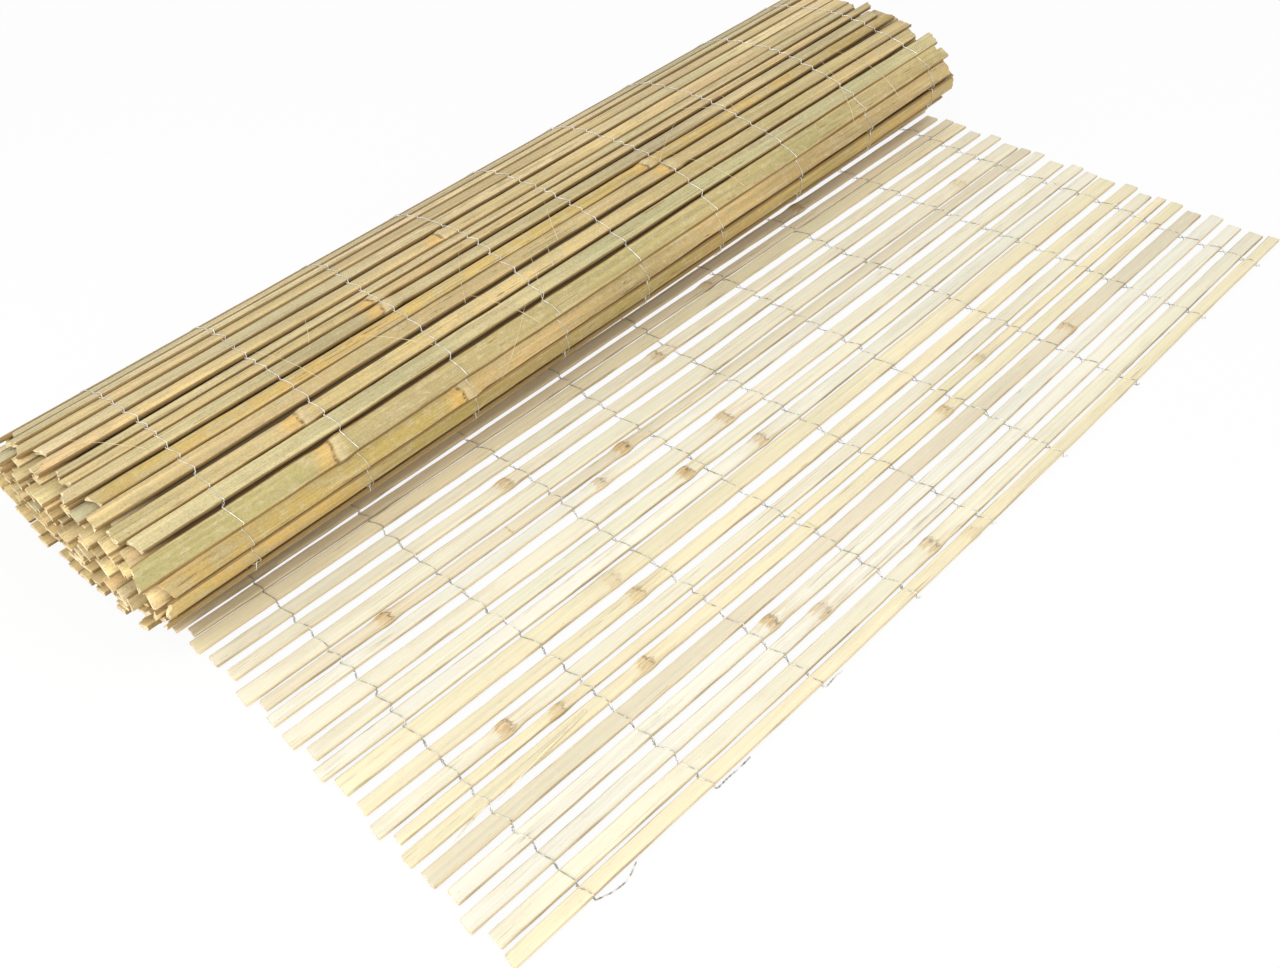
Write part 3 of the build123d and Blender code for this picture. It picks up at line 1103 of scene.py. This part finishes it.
# Slats of the outer turn from the floor in front over the top: their shares of the way round, the looks of
# those that show, by their numbers, and the tones of the rest
ROLL_SHARES = (19, 19, 20, 19, 20, 18, 20, 22, 20, 20.5, 18.5, 18.5, 20.5, 17.5, 16, 14.5,
               14.5, 20, 18, 19, 17, 20, 18, 16, 19, 18, 20, 17, 19, 18, 20, 17, 19)
ROLL_LOOKS = {
    5: RollLook(Tone.GOLD),
    6: RollLook(Tone.TAN),
    7: RollLook(Tone.GOLD),
    8: RollLook(Tone.GOLD, Tone.ORANGE_TAN, -206 * MM, -206 * MM),
    9: RollLook(Tone.OLIVE, knot=-327 * MM, breadth=1.20),
    10: RollLook(Tone.PALE_GREEN, breadth=1.10),
    11: RollLook(Tone.HEARTWOOD, Tone.TAN, -330 * MM, -330 * MM),
    12: RollLook(Tone.TAN, knot=121 * MM),
    13: RollLook(Tone.GOLD, knot=106 * MM),
    14: RollLook(Tone.GREY_TAN, knot=-203 * MM),
    15: RollLook(Tone.TAN, knot=-203 * MM),
    16: RollLook(Tone.GREY_TAN),
    17: RollLook(Tone.HEARTWOOD, knot=-100 * MM),
    18: RollLook(Tone.BLEACHED),
}
REST_TONES = (Tone.WEATHERED, Tone.BLEACHED, Tone.HEARTWOOD, Tone.GREY_TAN)
INNER_TONES = (Tone.HEARTWOOD, Tone.HONEY, Tone.PALE_GREEN, Tone.HONEY, Tone.WEATHERED)


@dataclass
class RolledMat:
    """The rolled part: a spiral of slats, skin side out, that its own weight has pressed to a flat oval."""

    centre: tuple[float, float, float] = (-1.85 * MM, 180.9 * MM, 56.9 * MM)
    skew: float = math.radians(1.2)
    width: float = 264.0 * MM
    height: float = 112.0 * MM
    power: float = 2.3
    gap: float = 2.5 * MM
    ragged: float = 8.0 * MM
    torn: float = 1.6 * MM
    askew: float = 3.0 * MM
    # Strength of the painted shade on the inner turns
    gloom: float = 0.88
    knot: float = 0.9
    core_height: float = 12.0 * MM
    core_squeeze: float = 0.97
    inner_pitch: float = 19.0 * MM
    outer_seed: int = 7
    inner_seed: int = 11
    outer: list[SlatForm] = field(default_factory=list)
    inner: list[SlatForm] = field(default_factory=list)

    OUTER_STEPS, INNER_STEPS = 720, 7200
    OUTER_COLUMNS, OUTER_SPACING = 5, 9.0 * MM
    INNER_COLUMNS, INNER_SPACING = 2, 500.0 * MM
    FIRST_OUTER_SEED, FIRST_INNER_SEED, SEEDS_APART = 5000, 9000, 10

    # Ranges of the random draws: lengths in millimetres, angles in degrees, the rest as shares
    LIFTS, TILTS = (-0.3, 1.3), (-3.0, 3.0)
    WIDTHS, TAPERS = (0.84, 1.06), (-0.26, 0.26)
    SLANTS, BOWS = (-3.0, 3.0), (-2.0, 2.0)
    NEAR_ENDS, FAR_ENDS = (-20.0, 8.0), (-11.0, 14.0)
    JITTER = (-0.14, 0.14)

    # Sines of a slat's number that set its ends and how they are cut: the step and the start, in radians
    END_SINES = ((2.4, 2), (2.4, 3))
    CUT_SINES = ((3.7, 0), (5.1, 1))

    def oval(self, angle: np.ndarray) -> np.ndarray:
        """Points of the spiral: a squarish oval that shrinks by one layer in each turn.

        Args:
            angle: Turn angle from the floor, by way of the back, the top and the front.

        Returns:
            Across and height in the roll's own frame, one row for each angle.
        """
        depth = LAYER * angle / TURN
        across = np.sign(np.sin(angle)) * np.abs(np.sin(angle)) ** (2 / self.power)
        height = np.sign(-np.cos(angle)) * np.abs(np.cos(angle)) ** (2 / self.power)
        return np.stack([(self.width / 2 - depth) * across, (self.height / 2 - depth) * height], -1)

    def along_turns(self, start: float, stop: float, samples: int) -> tuple[np.ndarray, np.ndarray]:
        """Turn angles of a stretch of the spiral and the way run at each.

        Args:
            start: Turn angle at which the stretch starts.
            stop: Turn angle at which it ends.
            samples: How many steps are taken.

        Returns:
            The angles and the way run.
        """
        angles = np.linspace(start, stop, samples + 1)
        steps = np.linalg.norm(np.diff(self.oval(angles), axis=0), axis=1)
        return angles, np.concatenate([[0.0], np.cumsum(steps)])

    def outer_angles(self) -> np.ndarray:
        """Turn angles half way between the outer slats, from the floor in front over the top.

        Returns:
            The angles, falling from a whole turn to 0.
        """
        angles, run = self.along_turns(TURN, 0.0, self.OUTER_STEPS)
        shares = np.concatenate([[0.0], np.cumsum(ROLL_SHARES)]) / sum(ROLL_SHARES)
        return np.interp(shares * run[-1], run, angles)

    def turned(self, vector: np.ndarray) -> np.ndarray:
        """A vector of the roll's own frame, or a row of them, in the part's frame."""
        cos, sin = math.cos(self.skew), math.sin(self.skew)
        return vector @ np.array([[cos, sin, 0.0], [-sin, cos, 0.0], [0.0, 0.0, 1.0]])

    def form(self, start: np.ndarray, stop: np.ndarray, ends: tuple[float, float], seed: int,
             look: RollLook, lift: float = 0.0, tilt: float = 0.0) -> SlatForm:
        """A slat of the roll between two points of its spiral.

        Args:
            start: Point of the spiral at its first edge.
            stop: Point of the spiral at its second edge.
            ends: How far its near and its far end are shifted along the roll.
            seed: Seed of its random wander.
            look: Its tones and bamboo node.
            lift: How far it stands out of the spiral.
            tilt: Angle by which it leans.

        Returns:
            The slat.
        """
        chord = stop - start
        lean = np.array([[math.cos(tilt), -math.sin(tilt)], [math.sin(tilt), math.cos(tilt)]])
        across = lean @ unit(chord)
        up = np.array([-across[1], across[0]])
        middle = (start + stop) / 2 + up * lift
        origin = np.array(self.centre) + self.turned(np.array([0.0, *middle]))
        return SlatForm(
            origin, self.turned(np.array([1.0, 0.0, 0.0])), self.turned(np.array([0.0, *across])),
            self.turned(np.array([0.0, *up])), -SLAT_LENGTH / 2 + ends[0], SLAT_LENGTH / 2 + ends[1],
            float(np.linalg.norm(chord)) - self.gap, seed, Side.SKIN, look.tone, look.second, look.change,
            () if look.knot is None else ((look.knot, self.knot),))

    def lay_outer(self) -> None:
        """Lay the slats of the outer turn, each a little out of line where the roll shows."""
        draw = np.random.default_rng(self.outer_seed)
        points = self.oval(self.outer_angles())
        for number, (start, stop) in enumerate(zip(points, points[1:])):
            free = start[1] > -self.height / 3
            lift = draw.uniform(*self.LIFTS) * MM if free else 0.0
            tilt = math.radians(draw.uniform(*self.TILTS)) if free else 0.0
            look = ROLL_LOOKS.get(number) or RollLook(REST_TONES[int(draw.integers(len(REST_TONES)))])
            near, far = (self.ragged * math.sin(step * number + phase) for step, phase in self.END_SINES)
            seed = self.FIRST_OUTER_SEED + self.SEEDS_APART * number
            slat = self.form(start, stop, (near, far), seed, look, lift, tilt)
            slat.width *= look.breadth * draw.uniform(*self.WIDTHS)
            slat.taper = draw.uniform(*self.TAPERS)
            slat.slant = draw.uniform(*self.SLANTS) * MM
            slat.bow = draw.uniform(*self.BOWS) * MM
            slat.fray = self.torn
            slat.cuts = tuple(self.askew * math.sin(step * number + phase) for step, phase in self.CUT_SINES)
            self.outer.append(slat)

    def lay_inner(self) -> None:
        """Lay the slats of the turns below, and the fold of the mat that fills the core."""
        draw = np.random.default_rng(self.inner_seed)
        end = TURN * (self.height / 2 - SLAT_THICKNESS - self.core_height / 2) / LAYER
        angles, run = self.along_turns(TURN, end, self.INNER_STEPS)
        pitch = self.inner_pitch
        count = round(run[-1] / pitch)
        share = np.linspace(0.0, 1.0, count + 1)
        share[1:-1] += draw.uniform(*self.JITTER, count - 1) / count
        points = self.oval(np.interp(share * run[-1], run, angles))
        pairs = list(zip(points[1:], points[:-1]))
        half = self.width / 2 - LAYER * end / TURN - LAYER - pitch / 2
        places = np.arange(-half, half - pitch, pitch)
        level = LAYER * self.core_squeeze
        pairs += [(np.array([y, level]), np.array([y + pitch, level])) for y in places]
        pairs += [(np.array([y + pitch, -level]), np.array([y, -level])) for y in places]
        for number, (start, stop) in enumerate(pairs):
            ends = draw.uniform(*self.NEAR_ENDS) * MM, draw.uniform(*self.FAR_ENDS) * MM
            look = RollLook(INNER_TONES[int(draw.integers(len(INNER_TONES)))])
            slat = self.form(start, stop, ends, self.FIRST_INNER_SEED + self.SEEDS_APART * number, look)
            slat.gloom = self.gloom
            self.inner.append(slat)

    def build(self, material: bpy.types.Material) -> None:
        """Make the outer turn and the turns below it.

        Args:
            material: The skin side's finish.
        """
        outer = Section.cut(self.OUTER_COLUMNS, ROUNDED_CORNER)
        inner = Section.cut(self.INNER_COLUMNS, BROKEN_CORNER)
        for name, forms, section, spacing in (
                ("roll_outer_turn", self.outer, outer, self.OUTER_SPACING),
                ("roll_inner_turns", self.inner, inner, self.INNER_SPACING)):
            builder = MeshBuilder()
            for form in forms:
                form.add_to(builder, section, spacing)
            mount(builder.make(name, material), "bamboo_skin", "rolled_turns")


def carried_round(path: np.ndarray, beside: np.ndarray, radius: np.ndarray | float, sides: int,
                  flatness: float = 1.0) -> np.ndarray:
    """Carry a circle or a flat oval along a path, square to it.

    Args:
        path: Points of the path.
        beside: A direction at each point that is never along the path.
        radius: Radius of the circle, one for all or one for each point.
        sides: Points round the circle.
        flatness: Share of the radius that is kept square to beside.

    Returns:
        Points as rings along the path by places round by three.
    """
    heading = unit(np.gradient(path, axis=0))
    first = unit(beside - (beside * heading).sum(-1, keepdims=True) * heading)
    second = np.cross(heading, first) * flatness
    angle = -TURN * np.arange(sides) / sides
    ring = np.cos(angle)[None, :, None] * first[:, None] + np.sin(angle)[None, :, None] * second[:, None]
    return path[:, None] + np.reshape(radius, (-1, 1, 1)) * ring


@dataclass
class TiePath:
    """Middle line of a twisted pair: its points, which way is up, the strands' spread and their turn."""

    middle: np.ndarray
    up: np.ndarray
    spread: np.ndarray
    turn: np.ndarray

    # Points on a slat and in a gap, the least room in a gap, and the gap that takes more half turns
    OVER, GAP = 6, 12
    ROOM, WIDE_GAP = 1.8 * MM, 5.5 * MM
    WIDE_TURNS, NARROW_TURNS = (2, 4), (1, 3)

    # Sway of a strand over a slat in millimetres, how closely the pair closes, and where in a gap it does
    SWAY, CLOSENESS = (-0.3, 1.2), (1.05, 2.6)
    CLOSING, TURNING = (0.0, 0.42), (0.22, 0.78)

    # A tail's points along its run, round its bend and up to the slat, its wander, and the lay of its twist
    RUN_POINTS, BEND_POINTS, LEAD_POINTS = 28, 8, 6
    STRAY, STRAY_STEP = 0.5 * MM, 12 * MM
    FLOOR_CLEARANCE, TWIST_SPREAD = 2.1 * STRAND_RADIUS, 1.06 * STRAND_RADIUS
    STAND_OFF = 1.3
    OPENING = (0.2, 1.0)
    STRAIGHT, LAY = 1.5 * MM, 7.0 * MM

    @classmethod
    def across_slats(cls, starts: np.ndarray, stops: np.ndarray, ups: np.ndarray, seed: int) -> TiePath:
        """Lead a pair of strands over and under each slat and twist them in each gap.

        Over a slat the strands lie half its thickness and a radius from its middle. In a gap they close
        up to a strand or two from their middle line and turn round it by a whole number of half turns.

        Args:
            starts: Middle of each slat's first edge.
            stops: Middle of each slat's second edge.
            ups: Which way is up on each slat.
            seed: Seed of the random number of turns.

        Returns:
            The path.
        """
        draw = np.random.default_rng(seed)
        count = len(starts)
        chords = unit(stops - starts)
        widths = ((starts[1:] - stops[:-1]) * chords[:-1]).sum(1)
        short = np.maximum(0.0, cls.ROOM - widths)[:, None] / 2
        stops = np.concatenate([stops[:-1] - chords[:-1] * short, stops[-1:]])
        starts = np.concatenate([starts[:1], starts[1:] + chords[1:] * short])
        many, few = (draw.integers(*limits, count - 1) for limits in (cls.WIDE_TURNS, cls.NARROW_TURNS))
        turns = np.where(widths > cls.WIDE_GAP, many, few) / 2
        done = np.concatenate([[0.0], np.cumsum(turns)])
        wide = SLAT_THICKNESS / 2 + WIRE_RADIUS
        q = np.linspace(0.0, 1.0, cls.OVER)
        over = starts[:, None] + (stops - starts)[:, None] * q[None, :, None]
        f = (np.arange(cls.GAP) + 1.0) / (cls.GAP + 1.0)
        gap = stops[:-1, None] + (starts[1:] - stops[:-1])[:, None] * f[None, :, None]
        over[..., 0] += draw.uniform(*cls.SWAY, (count, 1)) * MM * np.sin(math.pi * q)
        gap_up = unit(ups[:-1, None] * (1.0 - f)[None, :, None] + ups[1:, None] * f[None, :, None])
        closed = STRAND_RADIUS * draw.uniform(*cls.CLOSENESS, (count - 1, 1))
        gap_spread = wide + (closed - wide) * smooth_step(*cls.CLOSING, np.minimum(f, 1.0 - f))
        gap_turn = done[:-1, None] + turns[:, None] * smooth_step(*cls.TURNING, f)

        def joined(on_slats: np.ndarray, in_gaps: np.ndarray) -> np.ndarray:
            """Slats and gaps by turns, as one row of values."""
            pairs = np.concatenate([on_slats[:-1], in_gaps], 1)
            return np.concatenate([pairs.reshape(-1, *pairs.shape[2:]), on_slats[-1]])

        over_up = np.repeat(ups[:, None], cls.OVER, 1)
        over_spread = np.full((count, cls.OVER), wide)
        over_turn = np.repeat(done[:, None], cls.OVER, 1)
        return cls(joined(over, gap), joined(over_up, gap_up), joined(over_spread, gap_spread),
                   TURN * joined(over_turn, gap_turn) + TURN / 4)

    def with_tail(self, length: float, bulge: float, bend: float, seed: int) -> TiePath:
        """Put a loose tail in front: the pair comes down to the floor, bends round and runs along the slat.

        Args:
            length: How far the tail runs along the slat.
            bulge: How far it stands off the slat half way.
            bend: Radius of the bend.
            seed: Seed of the tail's wander.

        Returns:
            The longer path.
        """
        first = self.middle[0]
        x = np.linspace(length, bend, self.RUN_POINTS)
        stray = self.STRAY * Wander(seed, self.STRAY_STEP)(x)[:, 0]
        stray = stray - bulge * np.sin(math.pi * (x - bend) / (length - bend))
        floor = np.full(len(x), self.FLOOR_CLEARANCE)
        run = np.stack([first[0] + x, first[1] - self.STAND_OFF * bend + stray, floor], -1)
        angle = np.linspace(-TURN / 4, -TURN / 2, self.BEND_POINTS)[1:]
        start = run[-1] + np.array([0.0, bend, 0.0])
        arc = start + bend * np.stack([np.cos(angle), np.sin(angle), np.zeros(len(angle))], -1)
        share = np.linspace(0.0, 1.0, self.LEAD_POINTS)[1:-1, None]
        lead = arc[-1] + (first - arc[-1]) * share
        middle = np.concatenate([run, arc, lead])
        spread = np.full(len(middle), self.TWIST_SPREAD)
        spread[-len(lead):] += (self.spread[0] - spread[0]) * smooth_step(*self.OPENING, share[:, 0])
        way = np.linalg.norm(np.diff(np.concatenate([middle, first[None]]), axis=0), axis=1)
        left = np.cumsum(way[::-1])[::-1]
        turn = self.turn[0] - TURN * np.maximum(0.0, left - self.STRAIGHT) / self.LAY
        tail = (middle, np.tile(UP, (len(middle), 1)), spread, turn)
        rest = (self.middle, self.up, self.spread, self.turn)
        return TiePath(*(np.concatenate(both) for both in zip(tail, rest)))

    def strands(self, builder: MeshBuilder, sides: int) -> None:
        """Add both strands to a mesh: a round profile carried along the middle line's two offsets.

        Each strand lies at the spread from the middle line, on opposite sides of it, turned about it.

        Args:
            builder: The mesh being made.
            sides: Points round a strand.
        """
        beside = unit(np.cross(unit(np.gradient(self.middle, axis=0)), self.up))
        offset = np.cos(self.turn)[:, None] * beside + np.sin(self.turn)[:, None] * self.up
        offset = self.spread[:, None] * offset
        for sign in (1.0, -1.0):
            builder.add(carried_round(self.middle + sign * offset, beside, STRAND_RADIUS, sides))


@dataclass
class TieWires:
    """The rows of two-strand wire that hold the slats, flat and rolled."""

    rows: int = 9
    sides: int = 6
    tails: tuple[float, ...] = (36.0 * MM, 34.0 * MM, 20.0 * MM)
    bulges: tuple[float, ...] = (4.0 * MM, 0.4 * MM, 0.0)
    tucked: float = 3.0 * MM
    bend: float = 1.6 * MM
    drift: float = 3.5 * MM
    slant: float = 2.2 * MM

    FLAT_SEED, TAIL_SEED, ROLL_SEED = 300, 400, 600
    DRIFT_STEP = 4.0
    SLANTS = (0.4, 1.3)

    def crossings(self, forms: list[SlatForm], x: float,
                  seed: int) -> tuple[np.ndarray, np.ndarray, np.ndarray]:
        """Where a row crosses the slats: it drifts along them, slants over each and steps back in the gap.

        Args:
            forms: The slats, in order.
            x: Place of the row along the slats.
            seed: Seed of its drift.

        Returns:
            The middles of the first and of the second edge of each slat, and which way is up on it.
        """
        draw = np.random.default_rng(seed)
        drift = self.drift * Wander(seed, self.DRIFT_STEP)(np.arange(len(forms)).astype(float))[:, 0]
        slant = self.slant * draw.uniform(*self.SLANTS, len(forms))
        starts = [form.edge_point(x + d + s, -1.0) for form, d, s in zip(forms, drift, slant)]
        stops = [form.edge_point(x + d - s, 1.0) for form, d, s in zip(forms, drift, slant)]
        return np.array(starts), np.array(stops), np.array([form.up for form in forms])

    def lay(self, path: TiePath, name: str, node: str, material: bpy.types.Material) -> None:
        """Make one row.

        Args:
            path: The row's middle line.
            name: Name of the piece.
            node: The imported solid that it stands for.
            material: The wire's finish.
        """
        builder = MeshBuilder()
        path.strands(builder, self.sides)
        mount(builder.make(name, material), "tie_wire", node)

    def flat(self, mat: FlatMat, material: bpy.types.Material) -> None:
        """Make the rows of the flat part. At the front edge the first have loose tails, the rest short ends.

        Args:
            mat: The flat slats.
            material: The wire's finish.
        """
        for row in range(1, self.rows + 1):
            low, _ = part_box(f"tie_wire_{row}")
            seed = self.FLAT_SEED + row
            path = TiePath.across_slats(*self.crossings(mat.forms, low.x + WIRE_RADIUS, seed), seed)
            loose = row <= len(self.tails)
            tail, bulge = (self.tails[row - 1], self.bulges[row - 1]) if loose else (self.tucked, 0.0)
            path = path.with_tail(tail, bulge, self.bend, self.TAIL_SEED + row)
            self.lay(path, f"twisted_wire_{row}", f"tie_wire_{row}", material)

    def rolled(self, roll: RolledMat, material: bpy.types.Material) -> None:
        """Make the rows round the roll's outer turn, from the nip in front to the floor at the back.

        Args:
            roll: The rolled slats.
            material: The wire's finish.
        """
        clear = LAYER + 4 * WIRE_RADIUS
        for row in range(1, self.rows + 1):
            low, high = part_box(f"roll_wire_{row}")
            seed = self.ROLL_SEED + row
            crossed = self.crossings(roll.outer, (low.x + high.x) / 2 - roll.centre[0], seed)
            held = int(np.argmax(crossed[0][:, 2] > clear))
            path = TiePath.across_slats(*(values[held:] for values in crossed), seed)
            self.lay(path, f"roll_binding_{row}", f"roll_wire_{row}", material)


@dataclass(frozen=True)
class LooseFibres:
    """Fine bast fibres that have come loose and lie across the outer slats of the roll.

    Each pair of numbers is the range of a random draw: where along the roll a fibre starts and how far it
    drifts and lifts in millimetres, and its first slat and how many slats it crosses.
    """

    count: int = 16
    radius: float = 0.26 * MM
    taper: float = 0.6
    sides: int = 5
    stations: int = 24
    clearance: float = 1.8 * MM
    starts: tuple[float, float] = (-450.0, 420.0)
    drifts: tuple[float, float] = (-70.0, 70.0)
    slats: tuple[float, float] = (8.0, 15.0)
    crossed: tuple[float, float] = (2.0, 5.0)
    lifts: tuple[float, float] = (1.2, 3.6)
    seed: int = 21

    def build(self, roll: RolledMat, material: bpy.types.Material) -> None:
        """Make the fibres as one piece: thin tapered tubes over the roll's skin.

        Each runs from one place on the outer turn to another, and lifts off the slats half way.

        Args:
            roll: The rolled slats.
            material: The fibres' finish.
        """
        draw = np.random.default_rng(self.seed)
        marks = roll.outer_angles()
        builder = MeshBuilder()
        share = np.linspace(0.0, 1.0, self.stations)
        for _ in range(self.count):
            x = draw.uniform(*self.starts) * MM + draw.uniform(*self.drifts) * MM * share
            slat = draw.uniform(*self.slats) + draw.uniform(*self.crossed) * share
            points = roll.oval(np.interp(slat, np.arange(len(marks)), marks))
            heading = unit(np.gradient(points, axis=0))
            out = np.stack([-heading[:, 1], heading[:, 0]], -1)
            lift = self.clearance + draw.uniform(*self.lifts) * MM * np.sin(math.pi * share)
            local = np.concatenate([x[:, None], points + out * lift[:, None]], 1)
            path = np.array(roll.centre) + roll.turned(local)
            beside = np.tile(roll.turned(np.array([1.0, 0.0, 0.0])), (len(path), 1))
            builder.add(carried_round(path, beside, self.radius * (1.0 - self.taper * share), self.sides))
        mount(builder.make("loose_fibres", material), "bamboo_skin")


@dataclass(frozen=True)
class Splinter:
    """A sliver that has split off a flat slat: where it is rooted, where its tip lies, and its width."""

    root: tuple[float, float]
    tip: tuple[float, float]
    width: float


# Slivers that the photograph shows: two at the near end of the sixth slat, a chip at the far end
SLIVERS = (
    Splinter((-430.0 * MM, -220.0 * MM), (-467.0 * MM, -227.0 * MM), 2.6 * MM),
    Splinter((-334.0 * MM, -215.0 * MM), (-424.0 * MM, -224.0 * MM), 3.0 * MM),
    Splinter((412.0 * MM, -17.0 * MM), (396.0 * MM, -20.0 * MM), 4.0 * MM),
)


@dataclass(frozen=True)
class Splinters:
    """The slivers that stand off the flat slats, as one piece."""

    slivers: tuple[Splinter, ...] = SLIVERS
    height: float = 5.3 * MM
    rise: float = 1.0 * MM
    taper: float = 0.85
    taper_power: float = 1.5
    flatness: float = 0.4
    sides: int = 8
    stations: int = 14

    def build(self, material: bpy.types.Material) -> None:
        """Make the slivers: flat ovals carried from root to tip, which arch up and taper.

        Args:
            material: The pith side's finish.
        """
        builder = MeshBuilder()
        share = np.linspace(0.0, 1.0, self.stations)
        for sliver in self.slivers:
            root, tip = np.array([*sliver.root, self.height]), np.array([*sliver.tip, self.height])
            path = root + (tip - root) * share[:, None]
            path[:, 2] += self.rise * np.sin(math.pi * share)
            beside = np.tile(unit(np.cross(tip - root, UP)), (len(path), 1))
            half = sliver.width / 2 * (1.0 - self.taper * share ** self.taper_power)
            tone = np.tile(Tone.STRAW.linear, (len(path), 1))
            builder.add(carried_round(path, beside, half, self.sides, self.flatness), tone)
        mount(builder.make("splinters", material), "bamboo_pith")


def mount(piece: bpy.types.Object, slot: str, *nodes: str) -> None:
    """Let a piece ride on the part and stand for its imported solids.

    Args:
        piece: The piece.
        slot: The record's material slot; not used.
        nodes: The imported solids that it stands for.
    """
    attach(piece, BODY)
    if nodes:
        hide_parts(*nodes)
    log.info("%s: %d faces", piece.name, len(piece.data.polygons))


@dataclass(frozen=True)
class Lamp:
    """A wide square lamp that faces the part: where it hangs, its width and its power in watts."""

    name: str
    place: tuple[float, float, float]
    size: float
    power: float

    def hang(self) -> None:
        """Hang the lamp, its back turned away from the part."""
        data = bpy.data.lights.new(self.name, "AREA")
        data.size = self.size
        data.energy = self.power
        back = unit(np.array(self.place))
        beside = unit(np.cross(np.array([0.0, 1.0, 0.0]), back))
        turned = Matrix(np.stack([beside, np.cross(back, beside), back], 1).tolist())
        link(self.name, data).matrix_world = Matrix.Translation(self.place) @ turned.to_4x4()


@dataclass(frozen=True)
class Studio:
    """Plain soft studio: a white floor, an even pale surround and three wide lamps."""

    floor_half: float = 8.0
    floor_colour: tuple[float, float, float, float] = (0.9, 0.9, 0.9, 1.0)
    floor_glow: float = 0.90
    floor_fade: tuple[float, float] = (0.9, 3.5)
    surround: float = 0.59
    lamps: tuple[Lamp, ...] = (
        Lamp("key_lamp", (0.7, -0.9, 2.2), 2.0, 17.0),
        Lamp("fill_lamp", (-1.7, -0.8, 0.85), 1.6, 18.5),
        Lamp("back_lamp", (-1.3, 1.0, 1.7), 1.6, 10.0),
    )

    def floor(self) -> None:
        """Lay the floor, which looks white, takes the part's shadow and fades into the surround."""
        corners = self.floor_half * np.array([[-1, -1, 0], [1, -1, 0], [1, 1, 0], [-1, 1, 0]], float)
        mesh = bpy.data.meshes.new("studio_floor")
        mesh.from_pydata(corners.tolist(), [], [(0, 1, 2, 3)])
        material, graph = new_material("studio_floor")
        matt = graph.node("ShaderNodeBsdfDiffuse", {}, {"Color": self.floor_colour})
        glow = graph.node("ShaderNodeEmission", {}, {"Color": WHITE, "Strength": 1.0})
        place = graph.node("ShaderNodeTexCoord", {}, {}, "Object")
        away = graph.node("ShaderNodeVectorMath", {"operation": "LENGTH"}, {0: place}, "Value")
        share = graph.seen() * graph.step(away, self.floor_fade, self.floor_glow)
        surface = graph.node("ShaderNodeMixShader", {}, {0: share, 1: matt, 2: glow})
        graph.node("ShaderNodeOutputMaterial", {}, {"Surface": surface})
        mesh.materials.append(material)
        link("studio_floor", mesh)

    def world(self) -> None:
        """Surround the part with even pale light, which the camera sees as white."""
        world = bpy.data.worlds.new("studio")
        world.use_nodes = True
        bpy.context.scene.world = world
        graph = Graph(world.node_tree)
        strength = self.surround + (1.0 - self.surround) * graph.seen()
        light = graph.node("ShaderNodeBackground", {}, {"Color": WHITE, "Strength": strength})
        graph.node("ShaderNodeOutputWorld", {}, {"Surface": light})

    def build(self) -> None:
        """Set up the floor, the surround and the lamps."""
        self.floor()
        self.world()
        for lamp in self.lamps:
            lamp.hang()


@dataclass(frozen=True)
class PhotoCamera:
    """The camera at the photograph's viewing angle, as solved from the ends of the flat slats."""

    eye: tuple[float, float, float] = (-0.6475, -0.6458, 0.7422)
    yaw: float = 0.842413
    pitch: float = 0.774301
    roll: float = 0.0901768
    focal_pixels: float = 1263.5
    frame_pixels: float = 1280.0
    sensor: float = 36.0

    def build(self) -> None:
        """Place the camera: it looks along yaw and pitch, and is turned by roll about that line."""
        flat = math.cos(self.pitch)
        forward = np.array([math.cos(self.yaw) * flat, math.sin(self.yaw) * flat, -math.sin(self.pitch)])
        level = np.array([math.sin(self.yaw), -math.cos(self.yaw), 0.0])
        below = np.cross(forward, level)
        right = math.cos(self.roll) * level + math.sin(self.roll) * below
        down = -math.sin(self.roll) * level + math.cos(self.roll) * below
        data = bpy.data.cameras.new("photo_camera")
        data.sensor_fit = "HORIZONTAL"
        data.sensor_width = self.sensor
        data.lens = self.focal_pixels * self.sensor / self.frame_pixels
        axes = Matrix(np.stack([right, -down, -forward], 1).tolist())
        camera = link("photo_camera", data)
        camera.matrix_world = Matrix.Translation(self.eye) @ axes.to_4x4()
        bpy.context.scene.camera = camera


def clear_scene() -> None:
    """Remove whatever the program starts with."""
    for item in list(bpy.data.objects):
        bpy.data.objects.remove(item)


def main() -> None:
    """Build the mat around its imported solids, piece by piece."""
    logging.basicConfig(level=logging.INFO, format="%(name)s: %(message)s")
    clear_scene()
    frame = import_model()
    bpy.context.scene.view_settings.view_transform = "Standard"
    PhotoCamera().build()
    Studio().build()
    pith, skin = PITH_FINISH.material(), SKIN_FINISH.material()
    flat_wire, roll_wire = FLAT_WIRE_FINISH.material(), ROLL_WIRE_FINISH.material()
    flat = FlatMat(frame)
    flat.measure()
    flat.build(pith)
    roll = RolledMat()
    roll.lay_outer()
    roll.lay_inner()
    roll.build(skin)
    wires = TieWires()
    wires.flat(flat, flat_wire)
    wires.rolled(roll, roll_wire)
    LooseFibres().build(roll, FibreFinish().material())
    Splinters().build(pith)


if __name__ == "__main__":
    main()
